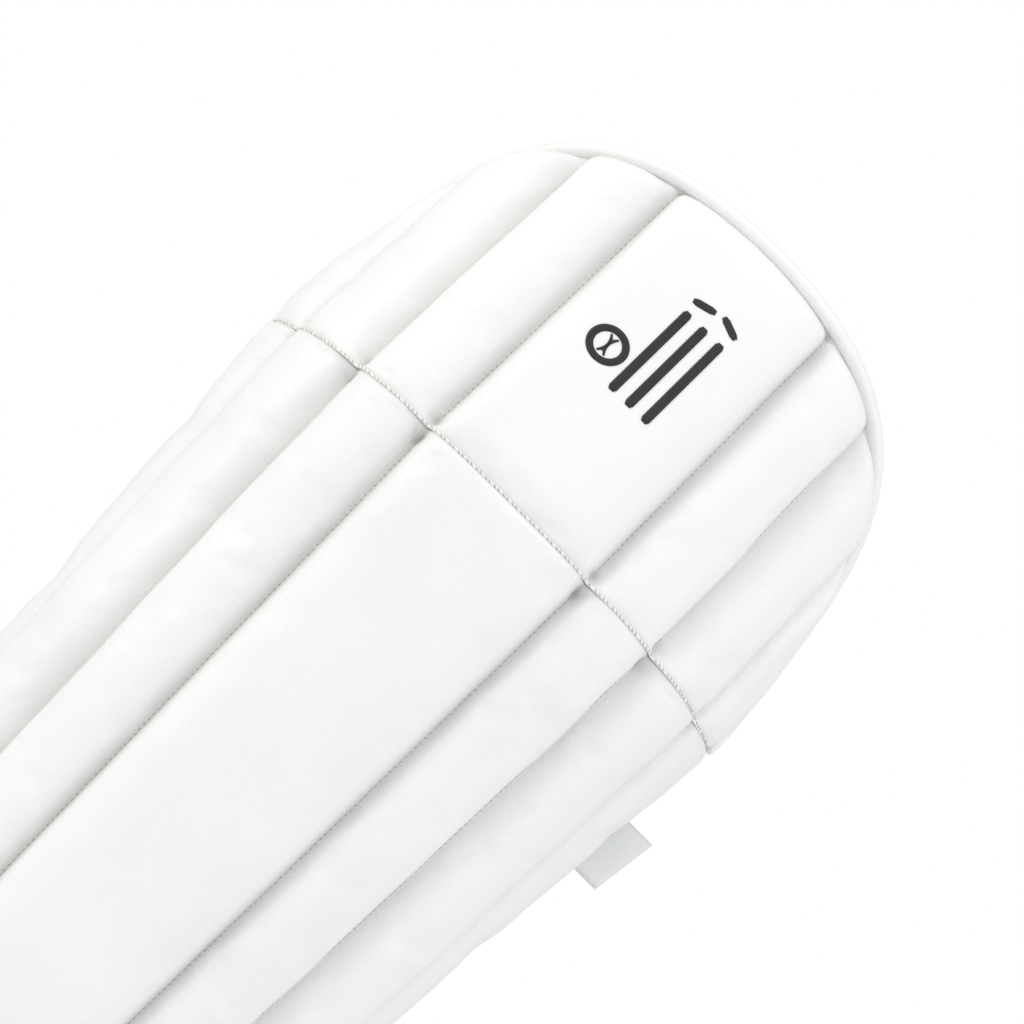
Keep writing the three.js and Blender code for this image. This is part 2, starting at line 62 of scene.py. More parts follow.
KNEE_SEAM = 455.0
INSTEP_SEAM = 95.0
KNEE_LENGTH = 170.0
LEAN = 12 * DEG
MITRE = LEAN / 2
CENTRE_RADIUS = 300.0
SIDE_RADIUS = 98.0
CENTRE_HALF = 44.0
FOLD = (108.0, 132.0)
WING_BEND = (150.0, 172.0)
WING_ANGLE = 100 * DEG
SEAM_SCALE = 1.055
ANKLE_SCALE = 0.89
KNEE_TAPER = 0.04
ANKLE_FOLD = 30 * DEG
RIM = ((158.0, 4.0), (154.0, 112.0), (110.0, 170.0), (0.0, 170.0))

SIDES = {"left": -1, "right": 1}  # the sign of s on each
SEAMS = (44.0, 82.0, 120.0, 150.0)  # sewn lines out from the centre; the last one holds the edge flange
SHIN_EDGE = 157.0
KNEE_EDGE = 155.0
RIM_INSET = 1.0
FOOT = 4.5  # how far the cover stands off the board at a sewn line
SHIN_CRESTS = (20.0, 18.0, 17.0, 13.0, 7.0)
KNEE_CRESTS = (20.5, 18.5, 17.0, 13.5, 7.5)
INSTEP_CRESTS = (16.0, 15.0, 14.0, 10.0, 5.6)
QUILT_BACK = -5.5
LINING_T = (-5.8, -7.1)
SEAM_INSET = 0.25
ARCH_RISE = 24.0
ARCH = (44.0, 82.0)
HEM_HEIGHT = 4.0
HEM_T = (-6.5, 7.0)
HEM_SQUARE = 0.45  # how boxy the hem's section is

WING_FROM = 157.4
WING_REAR = 215.0
WING_BOTTOM = 72.0
WING_TOP = 425.0
WING_FLAT = 177.2  # where the wing's lower and upper edges start to turn
WING_ROUND = 40.0
WING_T = (-6.0, 1.0)
WING_CHANNELS = (176.0, 195.0)
WING_PUFF = (1.1, 2.2)  # how far its channels swell, outwards and towards the leg
WING_PITCH = 3.4
WING_HEMLINE = 5.2  # its sewn line, in from the edge
WING_STEPS = 160

STRAPS = {"upper": (372.0, 50.0), "middle": (262.0, 50.0), "ankle": (132.0, 38.0)}
STRAP_THICKNESS = 2.2
STRAP_BULGE = 45.0
TAIL_LENGTH = 44.0
PATCH_T = WING_T[1] + 1
LOOP_THICKNESS = 1.2
HOOK_T = (PATCH_T + LOOP_THICKNESS + 0.5, PATCH_T + LOOP_THICKNESS + 1.7)
TAIL_T = HOOK_T[1] + 0.4 + STRAP_THICKNESS / 2
HINGE_S = WING_REAR + 10
HOOK_S = (WING_REAR - 40, WING_REAR - 4)
LOOP_S = (WING_REAR - 42, WING_REAR - 3)
LOOP_T = (PATCH_T - 0.9, PATCH_T + LOOP_THICKNESS)
ROOT_S = (WING_REAR - 26, HINGE_S - 1.0)
ROOT_T = (PATCH_T - 0.2, PATCH_T + STRAP_THICKNESS)
ROOT_SEWN_S = (WING_REAR - 23.5, WING_REAR - 4)
TAIL_SEWN_S = (WING_REAR - 40, WING_REAR - 6)

# The curve of a roll's flanks: how flat its top is, and how full its side.
CENTRE_CROWN = (9.0, 2.6)  # of the middle roll
INNER_FLANK = (2.5, 1.4)
OUTER_FLANK = (4.4, 2.1)
ROLL_END = (2.4, 1.9)
COLUMN_WIDTH = 6.2  # of the covers' grids, and how much closer the columns are beside a sewn line
COLUMN_EASE = 0.38
UNEVEN = 0.08  # how far hand-stuffed rolls wander

# How the rolls end: the distance over which they round off or slope down to a seam, the rim or the hem.
SHIN_TOP = 3.2
SHIN_TOP_FLAT = 7.0  # of the panels lower than LOW_PANEL
LOW_PANEL = 8.0
SHIN_FOOT = 6.0
KNEE_SLOPE = 16.0
RIM_FLAT = 4.5
RIM_ROUND = 8.5
INSTEP_SLOPE = 12.0
HEM_ROUND = 9.0

# The folds where leather is drawn into a cross seam: depth, width, and how far they run beside a sewn line.
GATHER_DEPTH = 1.25
GATHER_WIDTH = 4.8
GATHER_REACH = 5.5
RIPPLE_DEPTH = 0.14
RIPPLE_WIDTH = 6.1
POCKET_DEPTH = 3.0
POCKET_PLACE = 4.5

VALLEY_WIDTH = 1.3  # of the painted shade beside a sewn line, where the leather's colour is darkened
SEAM_RISE = 7.0  # of the cover where two sections are sewn together
SEAM_SHARE = 0.33  # how much of the rolls' own rise it keeps there
SEAM_FADE = 60.0  # how far in from the edge that rise is full
WELT_RADIUS = 0.8
SEAM_OVERLAP = 0.8  # how far a cover runs on under the welt

STITCH_PITCH = 3.0
STITCH_LENGTH = 2.1
STITCH_RADIUS = 0.36
STITCH_SLANT = 0.3
SEAM_PITCH = 2.7  # of the lock stitches over the seams between sections
SEAM_STITCH = 1.7
SEAM_SLANT = 0.6
SEAM_THREAD = 0.26
LINING_CHANNEL = 26.0
LINING_PUFF = 2.6
LINING_PITCH = 4.2
PIPING_RADII = (3.7, 4.1)
PIPING_T = 3.2  # how far it stands out from the board, and how much more at the top and the corners
PIPING_TOP = 2.6
PIPING_CORNER = 5.0
PIPING_STEPS = 220
WELT_STEPS = 320

LABEL_S = 158.9
LABEL_HEIGHTS = (371.0, 403.0)
LABEL_REACH = 24.0
LABEL_THICKNESS = 0.55
LABEL_GAP = 0.5  # half the space between its two folded layers

# The emblem, about its middle: where that is on the pattern, s and height above the knee seam; then the ends
# and widths of its lines, and the ball's middle, radius and seam.
EMBLEM = (-4.0, 97.5)
PRINT_LIFT = 0.32
PRINT_DEPTH = 0.35
STUMPS = (0.5, 9.5, 18.5)
STUMP_ENDS = (-32.0, 19.0)
STUMP_WIDTH = 4.0
BAILS = (((-2.0, 24.5), (8.0, 27.5)), ((11.5, 29.0), (21.0, 25.0)))
BAIL_WIDTH = 3.4
BALL = (-13.0, -18.0)
BALL_RADIUS = 7.6
BALL_WIDTH = 3.2
BALL_SEAM = 7.4
BALL_SEAM_WIDTH = 1.3
BALL_SEAM_TURN = 42.0

# How a piece swells as cloth: its pressure, its growth, and the largest move in metres.
COVER_SWELL = (3.0, 0.01, 1.1 * MM)
BOLSTER_SWELL = (4.0, 0.02, 2.5 * MM)
SIM_FRAMES = 20
CLOTH_MASS = 0.3
CLOTH_TENSION = 18.0
CLOTH_BENDING = 0.6

# The pattern's origin in the frame: the middle of the board's front face.
board_low, board_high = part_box("shin_backing_board")
ORIGIN = np.array([(board_low.x + board_high.x) / 2, board_low.y, 0.0])

# ------------------------------------------------------------
# The wrapped surface


def floats(*values):
    """Numbers and arrays as float arrays of one shape."""
    return np.broadcast_arrays(*(np.asarray(value, float) for value in values))


def plan(s, t, scale, fold):
    """Plan position of pattern points on a section scaled by scale, its edge panels turned by fold."""
    s, t, scale, fold = floats(s, t, scale, fold)
    reach = np.abs(s)
    side = 1 / SIDE_RADIUS
    before_wing = CENTRE_HALF / CENTRE_RADIUS + (WING_BEND[0] - CENTRE_HALF) * side + fold
    arcs = (
        (CENTRE_HALF, 1 / CENTRE_RADIUS),
        (FOLD[0], side),
        (FOLD[1], side + fold / (FOLD[1] - FOLD[0])),
        (WING_BEND[0], side),
        (WING_BEND[1], (WING_ANGLE - before_wing) / (WING_BEND[1] - WING_BEND[0])),
        (1e6, 0.0),
    )
    x = y = angle = np.zeros_like(s)
    start = 0.0
    for end, curve in arcs:
        length = np.clip(np.minimum(reach, end) - start, 0, None)
        half = curve * length / 2
        chord = length * np.sinc(half / np.pi)
        x = x + chord * np.cos(angle + half)
        y = y + chord * np.sin(angle + half)
        angle = angle + 2 * half
        start = end
    return np.sign(s) * (x * scale + t * np.sin(angle)), y * scale - t * np.cos(angle)


def to_frame(x, y, z):
    """A point in the pad's own millimetres as one of the frame's, in metres."""
    return np.stack([x, y, z], -1) * MM + ORIGIN


def shin_scale(z):
    depth = np.maximum(0, (KNEE_SEAM - z) / (KNEE_SEAM - INSTEP_SEAM))
    return SEAM_SCALE + (ANKLE_SCALE - SEAM_SCALE) * depth**1.2


def shin_fold(z):
    depth = np.clip((KNEE_SEAM - z) / (KNEE_SEAM - INSTEP_SEAM), 0, 1)
    return ANKLE_FOLD * (1 - (1 - depth) ** 2)


def shin_plain(s, t, z):
    """A point of the shin at a level height z."""
    s, t, z = floats(s, t, z)
    x, y = plan(s, t, shin_scale(z), shin_fold(z))
    return to_frame(x, y, z)


def shin_point(s, t, v):
    """A point of the shin at the share v of the way up from the instep seam to the knee seam."""
    s, t, v = floats(s, t, v)
    z = INSTEP_SEAM + (KNEE_SEAM - INSTEP_SEAM) * v
    for _ in range(3):
        x, y = plan(s, t, shin_scale(z), shin_fold(z))
        slant = y * math.tan(MITRE)
        low = INSTEP_SEAM - slant + SEAM_INSET
        high = KNEE_SEAM - slant - SEAM_INSET
        z = low + (high - low) * v
    return to_frame(x, y, z)


def leaned(x, y, height, seam):
    """Turns a point of a leaning section about its seam."""
    return to_frame(
        x,
        y * math.cos(LEAN) + height * math.sin(LEAN),
        seam - y * math.sin(LEAN) + height * math.cos(LEAN),
    )


def bezier(points, f):
    a, b, c, d = (np.array(p) for p in points)
    f = np.asarray(f, float)[..., None]
    return a * (1 - f) ** 3 + 3 * b * f * (1 - f) ** 2 + 3 * c * f**2 * (1 - f) + d * f**3


def distances(path):
    """The distance along a path at each of its points."""
    return np.concatenate([[0], np.cumsum(np.linalg.norm(np.diff(path, axis=0), axis=1))])


def points_at(path, wanted):
    """The points of a path at wanted distances along it."""
    run = distances(path)
    return np.stack([np.interp(wanted, run, values) for values in path.T], -1)


def units(vectors):
    return vectors / np.linalg.norm(vectors, axis=-1, keepdims=True)


RIM_LINE = bezier(RIM, np.linspace(0, 1, 200))


def rim_height(s, inset):
    """Height of the knee section's rim above its seam at s, pulled in by inset."""
    edge = RIM[0][0]
    wanted = np.minimum(np.abs(s) * edge / (edge - inset), edge)
    height = np.interp(wanted, RIM_LINE[::-1, 0], RIM_LINE[::-1, 1])
    return height * (KNEE_LENGTH - inset) / KNEE_LENGTH


def knee_scale(height):
    return SEAM_SCALE * (1 - KNEE_TAPER * height / KNEE_LENGTH)


def knee_at(s, t, height):
    """A point of the knee section at a height above its seam."""
    s, t, height = floats(s, t, height)
    x, y = plan(s, t, knee_scale(height), 0.0)
    return leaned(x, y, height, KNEE_SEAM)


def knee_rows(s, t, v):
    """Height above the seam at the share v of the way from the knee seam to the rim."""
    s, t, v = floats(s, t, v)
    height = np.zeros_like(s)
    for _ in range(3):
        y = plan(s, t, knee_scale(height), 0.0)[1]
        foot = y * math.tan(MITRE) + SEAM_INSET
        top = np.maximum(rim_height(s, RIM_INSET), foot + 12)
        height = foot + (top - foot) * v
    return height


def knee_point(s, t, v):
    return knee_at(s, t, knee_rows(s, t, v))


def instep_floor(y, s, above):
    """Height of the arched bottom line of the instep, raised by above, along its leaning axis."""
    arch = ARCH_RISE * np.clip((ARCH[1] - np.abs(s)) / (ARCH[1] - ARCH[0]), 0, 1)
    arch = arch * arch * (3 * ARCH_RISE - 2 * arch) / ARCH_RISE**2
    return (y * math.sin(LEAN) - INSTEP_SEAM + arch + above) / math.cos(LEAN)


def instep_point(s, t, v):
    """A point of the instep at the share v of the way up from its hem to the instep seam."""
    s, t, v = floats(s, t, v)
    x, y = plan(s, t, ANKLE_SCALE, ANKLE_FOLD)
    low = instep_floor(y, s, HEM_HEIGHT - 0.6)
    high = y * math.tan(MITRE) - SEAM_INSET
    return leaned(x, y, low + (high - low) * v, INSTEP_SEAM)


# ------------------------------------------------------------
# Meshes


def grid_faces(rows, cols, first=0, wrap=False):
    """Quads between the points of a grid, joined across its last column where wrap is set."""
    r, c = np.meshgrid(np.arange(rows - 1), np.arange(cols if wrap else cols - 1), indexing="ij")
    after = (c + 1) % cols
    quads = np.stack([r * cols + c, r * cols + after, (r + 1) * cols + after, (r + 1) * cols + c], -1)
    return (quads.reshape(-1, 4) + first).tolist()


def shell(front, back):
    """Points and faces of the closed solid between two grids of the same size."""
    rows, cols = front.shape[:2]
    count = rows * cols
    loop = [(0, c) for c in range(cols)]
    loop += [(r, cols - 1) for r in range(1, rows)]
    loop += [(rows - 1, c) for c in range(cols - 2, -1, -1)]
    loop += [(r, 0) for r in range(rows - 2, 0, -1)]
    edge = [r * cols + c for r, c in loop]
    walls = [[a, b, b + count, a + count] for a, b in zip(edge, edge[1:] + edge[:1])]
    faces = grid_faces(rows, cols) + grid_faces(rows, cols, count) + walls
    return np.concatenate([front.reshape(-1, 3), back.reshape(-1, 3)]), faces


def tube(rings):
    """Points and faces of a closed tube through rings of points, with a point at each end."""
    count, around = rings.shape[:2]
    first, last = rings[0].mean(0), rings[-1].mean(0)
    points = np.concatenate([rings.reshape(-1, 3), [first, last]])
    faces = grid_faces(count, around, wrap=True)
    ends = count * around
    for i in range(around):
        after = (i + 1) % around
        base = (count - 1) * around
        faces.append([ends, after, i])
        faces.append([ends + 1, base + i, base + after])
    return points, faces


def merged(parts):
    """Several closed pieces as one set of points and faces."""
    points, faces, first = [], [], 0
    for p, f in parts:
        points.append(p)
        faces += [[i + first for i in face] for face in f]
        first += len(p)
    return np.concatenate(points), faces


def make_object(name, points, faces, material):
    mesh = bpy.data.meshes.new(name)
    mesh.from_pydata(points.tolist(), [], faces)
    work = bmesh.new()
    work.from_mesh(mesh)
    bmesh.ops.recalc_face_normals(work, faces=work.faces)
    work.to_mesh(mesh)
    work.free()
    mesh.polygons.foreach_set("use_smooth", [True] * len(mesh.polygons))
    obj = bpy.data.objects.new(name, mesh)
    bpy.context.scene.collection.objects.link(obj)
    if material:
        mesh.materials.append(material)
    return obj


def set_attribute(obj, name, values):
    kind = "FLOAT" if values.ndim == 1 else "FLOAT_VECTOR"
    made = obj.data.attributes.new(name, kind, "POINT")
    made.data.foreach_set("value" if kind == "FLOAT" else "vector", values.astype(np.float32).ravel())


def coordinates(mesh):
    found = np.zeros(len(mesh.vertices) * 3, np.float32)
    mesh.vertices.foreach_get("co", found)
    return found.reshape(-1, 3).astype(float)


def layer(name, front, back, material, across, along):
    """A closed piece between two grids of points, with the pattern its weave or grain follows, in metres."""
    points, faces = shell(front, back)
    obj = make_object(name, points, faces, material)
    pattern = np.stack([across, along, np.zeros_like(across)], -1).reshape(-1, 3)
    set_attribute(obj, "pattern", np.concatenate([pattern, pattern]))
    return obj


def apply_modifiers(obj):
    """Replaces an object's mesh by the result of its modifiers."""
    bpy.context.view_layer.update()
    made = bpy.data.meshes.new_from_object(obj.evaluated_get(bpy.context.evaluated_depsgraph_get()))
    obj.modifiers.clear()
    obj.data = made
    made.polygons.foreach_set("use_smooth", [True] * len(made.polygons))


def subdivide(obj):
    smoothing = obj.modifiers.new("Subdivision", "SUBSURF")
    smoothing.levels = 1
    smoothing.render_levels = 1
    apply_modifiers(obj)


def settle(obj, pinned, pressure, growth, cap):
    """Lets an object's mesh swell as cloth with some points held, and keeps every move under cap metres."""
    start = coordinates(obj.data)
    cloth = obj.modifiers.new("Cloth", "CLOTH")
    settings = cloth.settings
    settings.quality = 5
    settings.mass = CLOTH_MASS
    settings.tension_stiffness = CLOTH_TENSION
    settings.compression_stiffness = CLOTH_TENSION
    settings.shear_stiffness = CLOTH_TENSION / 2
    settings.bending_stiffness = CLOTH_BENDING
    settings.use_pressure = True
    settings.uniform_pressure_force = pressure
    settings.shrink_min = -growth
    settings.effector_weights.gravity = 0
    cloth.collision_settings.use_collision = False
    cloth.point_cache.frame_start = 1
    cloth.point_cache.frame_end = SIM_FRAMES
    if len(pinned):
        group = obj.vertex_groups.new(name="held")
        group.add([int(i) for i in pinned], 1.0, "REPLACE")
        settings.vertex_group_mass = group.name
    for step in range(1, SIM_FRAMES + 1):
        bpy.context.scene.frame_set(step)
    shaped = obj.evaluated_get(bpy.context.evaluated_depsgraph_get())
    moved = coordinates(shaped.data) - start
    obj.modifiers.clear()
    bpy.context.scene.frame_set(1)
    far = np.linalg.norm(moved, axis=1, keepdims=True)
    limited = cap * np.tanh(far / cap) / np.maximum(far, 1e-9)
    result = start + moved * limited
    obj.data.vertices.foreach_set("co", result.astype(np.float32).ravel())
    obj.data.update()
    return result


def surface_of(obj):
    """An object's mesh as a surface that lines can be dropped on."""
    return BVHTree.FromPolygons([v.co for v in obj.data.vertices], [p.vertices for p in obj.data.polygons])


def drop(surface, above, below):
    """Where lines from above to below first meet a surface, with the surface's normal there."""
    places, normals = [], []
    for a, b in zip(above, below):
        start = Vector(a)
        way = (Vector(b) - start).normalized()
        place, normal, _, _ = surface.ray_cast(start, way)
        if place is None:
            place, normal = Vector(b), -way
        if normal.dot(way) > 0:
            normal = -normal
        places.append(place)
        normals.append(normal)
    return np.array(places), np.array(normals)


# ------------------------------------------------------------
# Materials


class Look:
    """A procedural material and its nodes."""

    def __init__(self, name, roughness, specular=0.5):
        self.material = bpy.data.materials.new(name)
        self.material.use_nodes = True
        self.tree = self.material.node_tree
        self.surface = self.tree.nodes["Principled BSDF"]
        self.surface.inputs["Roughness"].default_value = roughness
        self.surface.inputs["Specular IOR Level"].default_value = specular
        self.height = None

    def node(self, kind, values=None, **settings):
        made = self.tree.nodes.new(kind)
        for key, value in settings.items():
            setattr(made, key, value)
        for key, value in (values or {}).items():
            if isinstance(value, bpy.types.NodeSocket):
                self.tree.links.new(value, made.inputs[key])
            else:
                made.inputs[key].default_value = value
        return made

    def place(self, attribute=None):
        """Texture coordinates: the object's own, in metres, or a vector attribute's."""
        if attribute:
            return self.node("ShaderNodeAttribute", attribute_name=attribute).outputs["Vector"]
        return self.node("ShaderNodeTexCoord").outputs["Object"]

    def noise(self, scale, detail=3.0, attribute=None, stretch=None, roughness=0.55):
        at = self.place(attribute)
        if stretch:
            at = self.node("ShaderNodeVectorMath", {0: at, 1: stretch}, operation="MULTIPLY").outputs[0]
        values = {"Vector": at, "Scale": scale, "Detail": detail, "Roughness": roughness}
        return self.node("ShaderNodeTexNoise", values).outputs["Fac"]

    def cells(self, scale, feature="SMOOTH_F1"):
        values = {"Vector": self.place(), "Scale": scale}
        return self.node("ShaderNodeTexVoronoi", values, feature=feature).outputs["Distance"]

    def math(self, operation, a, b=0.0):
        return self.node("ShaderNodeMath", {0: a, 1: b}, operation=operation).outputs[0]

    def remap(self, value, low, high, to_low=0.0, to_high=1.0):
        values = {"Value": value, "From Min": low, "From Max": high, "To Min": to_low, "To Max": to_high}
        return self.node("ShaderNodeMapRange", values).outputs[0]

    def blend(self, share, first, second):
        mixed = self.node("ShaderNodeMix", data_type="RGBA")
        for index, value in ((0, share), (6, first), (7, second)):
            if isinstance(value, bpy.types.NodeSocket):
                self.tree.links.new(value, mixed.inputs[index])
            elif index == 0:
                mixed.inputs[index].default_value = value
            else:
                mixed.inputs[index].default_value = (*value, 1.0)
        return mixed.outputs[2]

    def colour(self, value):
        if isinstance(value, bpy.types.NodeSocket):
            self.tree.links.new(value, self.surface.inputs["Base Color"])
        else:
            self.surface.inputs["Base Color"].default_value = (*value, 1.0)

    def rough(self, value):
        self.tree.links.new(value, self.surface.inputs["Roughness"])

    def bump(self, height, distance, strength):
        values = {"Height": height, "Distance": distance, "Strength": strength}
        if self.height:
            values["Normal"] = self.height
        self.height = self.node("ShaderNodeBump", values).outputs[0]
        self.tree.links.new(self.height, self.surface.inputs["Normal"])


def leather(name, clean, worn, valley_shade_colour, roughness=0.4):
    """White polyurethane-coated leather: fine pebble grain and soft creases, with painted shade in its sewn
    valleys, where the valley attribute darkens its colour towards the valley shade colour.
    """
    look = Look(name, roughness)
    cloud = look.remap(look.noise(14.0, 4.0), 0.35, 0.68)
    base = look.blend(cloud, clean, worn)
    speck = look.remap(look.noise(260.0, 2.0), 0.62, 0.74, 0.0, 0.25)
    base = look.blend(speck, base, worn)
    valley = look.node("ShaderNodeAttribute", attribute_name="valley").outputs["Fac"]
    # Painted shade: the valley attribute darkens the colour beside sewn lines towards the valley shade
    # colour.
    look.colour(look.blend(look.math("MULTIPLY", valley, 0.75), base, valley_shade_colour))
    look.rough(look.remap(look.noise(60.0, 3.0), 0.3, 0.7, roughness - 0.05, roughness + 0.1))
    creases = look.noise(70.0, 5.0, attribute="pattern", stretch=(1.0, 0.45, 1.0), roughness=0.6)
    look.bump(creases, 0.0006, 0.5)
    strain = look.noise(210.0, 3.0, attribute="pattern", stretch=(1.0, 0.16, 1.0))
    look.bump(look.math("MULTIPLY", strain, look.remap(valley, 0.0, 0.4)), 0.0008, 0.7)
    pebbles = look.cells(1050.0)
    look.bump(pebbles, 0.00022, 0.55)
    look.bump(look.noise(2600.0, 2.0), 0.00006, 0.5)
    return look.material


def woven(name, first, second, pitch, relief, roughness=0.85, ribs=0.0):
    """Plain weave over the pattern attribute, with threads of slightly different colours."""
    look = Look(name, roughness, 0.3)
    look.surface.inputs["Sheen Weight"].default_value = 0.25
    split = look.node("ShaderNodeSeparateXYZ", {0: look.place("pattern")})
    across = look.math("SINE", look.math("MULTIPLY", split.outputs[0], math.pi / pitch))
    along = look.math("SINE", look.math("MULTIPLY", split.outputs[1], math.pi / pitch))
    weave = look.math("MULTIPLY", across, along)
    height = look.math("ADD", look.remap(weave, -1.0, 1.0), look.math("MULTIPLY", look.noise(1800.0), 0.3))
    shade = look.blend(look.remap(weave, -1.0, 1.0), first, second)
    fade = look.remap(look.noise(25.0, 4.0), 0.3, 0.75, 0.0, 0.5)
    look.colour(look.blend(fade, shade, first))
    look.bump(height, relief, 0.9)
    if ribs:
        wave = look.math("SINE", look.math("MULTIPLY", split.outputs[1], math.pi / ribs))
        look.bump(look.math("ABSOLUTE", wave), relief * 2.0, 0.8)
    return look.material


def fuzzy(name, first, second, scale, relief):
    """Hook or loop tape: a dense fine nap."""
    look = Look(name, 0.95, 0.2)
    look.surface.inputs["Sheen Weight"].default_value = 0.4
    nap = look.noise(scale, 4.0, roughness=0.7)
    look.colour(look.blend(look.remap(nap, 0.3, 0.7), first, second))
    look.bump(look.math("ADD", look.cells(scale * 0.8, "F1"), nap), relief, 1.0)
    return look.material


def thread(name, first, second):
    look = Look(name, 0.6, 0.4)
    twist = look.noise(2200.0, 1.0)
    look.colour(look.blend(look.remap(twist, 0.35, 0.65), first, second))
    look.bump(twist, 0.0001, 0.6)
    return look.material


def printed(name, colour):
    """A matt printed film that keeps a little of the leather's grain."""
    look = Look(name, 0.55, 0.35)
    tone = look.noise(40.0, 3.0)
    look.colour(look.blend(look.remap(tone, 0.3, 0.7), colour, tuple(c * 1.35 for c in colour)))
    look.bump(look.cells(1050.0), 0.00012, 0.5)
    return look.material


def foam(name, colour):
    look = Look(name, 0.9, 0.2)
    pores = look.cells(900.0, "F1")
    # Painted shade: each pore is darker at its middle, where its bump sinks.
    look.colour(look.blend(look.remap(pores, 0.0, 0.6), tuple(c * 0.86 for c in colour), colour))
    look.bump(pores, 0.0003, 0.7)
    return look.material


# The last colour of each leather is painted shade for its sewn valleys.
WHITE_LEATHER = leather("white_leather", (0.9, 0.902, 0.895), (0.865, 0.868, 0.862), (0.42, 0.41, 0.39))
TRIM_LEATHER = leather("trim_leather", (0.9, 0.9, 0.89), (0.87, 0.87, 0.865), (0.4, 0.39, 0.37), 0.34)
COTTON = woven("lining_cotton", (0.74, 0.735, 0.7), (0.64, 0.635, 0.6), 0.0011, 0.00016)
BOLSTER_COTTON = woven("bolster_cotton", (0.78, 0.775, 0.745), (0.69, 0.685, 0.65), 0.0012, 0.00016)
WEBBING = woven("white_webbing", (0.82, 0.82, 0.81), (0.7, 0.7, 0.69), 0.0009, 0.00018, ribs=0.0031)
LABEL = woven("label_weave", (0.85, 0.86, 0.87), (0.77, 0.78, 0.79), 0.00055, 0.00007, 0.55)
HOOK = fuzzy("hook_tape", (0.72, 0.72, 0.7), (0.55, 0.55, 0.53), 1300.0, 0.0006)
LOOP = fuzzy("loop_tape", (0.8, 0.8, 0.79), (0.66, 0.66, 0.65), 700.0, 0.0005)
THREAD = thread("seam_thread", (0.6, 0.6, 0.55), (0.46, 0.46, 0.42))
CHARCOAL = printed("charcoal_print", (0.022, 0.022, 0.024))
BOARD_FOAM = foam("board_foam", (0.66, 0.67, 0.68))

# ------------------------------------------------------------
# Quilted sections


def columns(edge):
    """The s of each grid column, closer together beside the sewn lines."""
    lines = [0.0, *SEAMS, edge]
    places = [0.0]
    for low, high in zip(lines, lines[1:]):
        from_centre = low == 0.0
        width = 2 * high if from_centre else high - low
        steps = max(4, 2 * round(width / COLUMN_WIDTH))
        u = np.linspace(-1, 1, steps + 1)
        eased = u * (1 - COLUMN_EASE) + np.sin(u * math.pi / 2) * COLUMN_EASE
        s = (low + high) / 2 + eased * (high - low) / 2 if not from_centre else eased * high
        places += [float(v) for v in s if v > places[-1] + 1e-6]
    return np.array([-v for v in places[:0:-1]] + places)


def crown_at(s, crests, edge):
    """Rise of the padded panels over their sewn lines at s: gentle towards the centre, steep away from it."""
    lines = np.array([0.0, *SEAMS, edge])
    reach = np.minimum(np.abs(s), edge - 1e-6)
    panel = np.clip(np.searchsorted(lines, reach, "right") - 1, 0, len(crests) - 1)
    low, high = lines[panel], lines[panel + 1]
    u = np.where(panel == 0, reach / high, (2 * reach - low - high) / (high - low))
    power, side = (
        np.where(panel == 0, centre, np.where(u < 0, inner, outer))
        for centre, inner, outer in zip(CENTRE_CROWN, INNER_FLANK, OUTER_FLANK)
    )
    profile = np.clip(1 - np.abs(u) ** power, 0, 1) ** (1 / side)
    return (np.array(crests)[panel] - FOOT) * profile


def rounded(distance, radius):
    """Falls from 1 to 0 over the last radius before an end, as a padded roll does."""
    return (1 - (1 - np.clip(distance / radius, 0, 1)) ** ROLL_END[0]) ** (1 / ROLL_END[1])


def sloped(distance, run):
    """Rises from 0 to 1 over a run, without the sudden start of a rounded end."""
    return 1 - (1 - np.clip(distance / run, 0, 1)) ** 2


def at_seam(s, rise):
    """Rise of the cover where two sections are sewn together: near the rolls' own, and even between them."""
    return SEAM_RISE * np.clip((SHIN_EDGE - np.abs(s)) / SEAM_FADE, 0, 1) + SEAM_SHARE * rise


def knee_seam_rise(s):
    return at_seam(s, crown_at(s, SHIN_CRESTS, SHIN_EDGE))


def instep_seam_rise(s):
    return at_seam(s, crown_at(s, INSTEP_CRESTS, SHIN_EDGE))


def from_lines(s, lines):
    """Distance from s, on either side of the pad, to the nearest of some sewn lines."""
    return np.min([np.abs(np.abs(s) - line) for line in lines], axis=0)


def gathers(s, distance, edge):
    """Small folds, and a small pocket, where the leather is drawn into a cross seam beside a sewn line."""
    near = from_lines(s, SEAMS)
    reach = np.clip(distance / 2, 0, 1) * np.exp(-np.maximum(distance - 2, 0) / 4.0)
    folds = np.cos(near * 2 * math.pi / GATHER_WIDTH + 0.8 * np.sin(s)) * np.exp(-near / GATHER_REACH)
    folds = GATHER_DEPTH * folds
    folds += RIPPLE_DEPTH * np.sin(s * 2 * math.pi / RIPPLE_WIDTH + 1.7 * np.sin(s / 7.3))
    pocket = POCKET_DEPTH * np.exp(-((near / 2.2) ** 2) - ((distance - POCKET_PLACE) / 2.5) ** 2)
    return (folds * reach - pocket) * np.clip((edge - np.abs(s)) / 8, 0, 1)


def softness(s, height, size=UNEVEN):
    """Slow unevenness of hand-stuffed rolls."""
    return size * (
        np.sin(s / 13.0 + height / 31.0)
        + np.sin(height / 19.0 - s / 29.0 + 1.3)
        + 0.6 * np.sin(height / 11.0 + s / 9.0 + 0.4)
    )


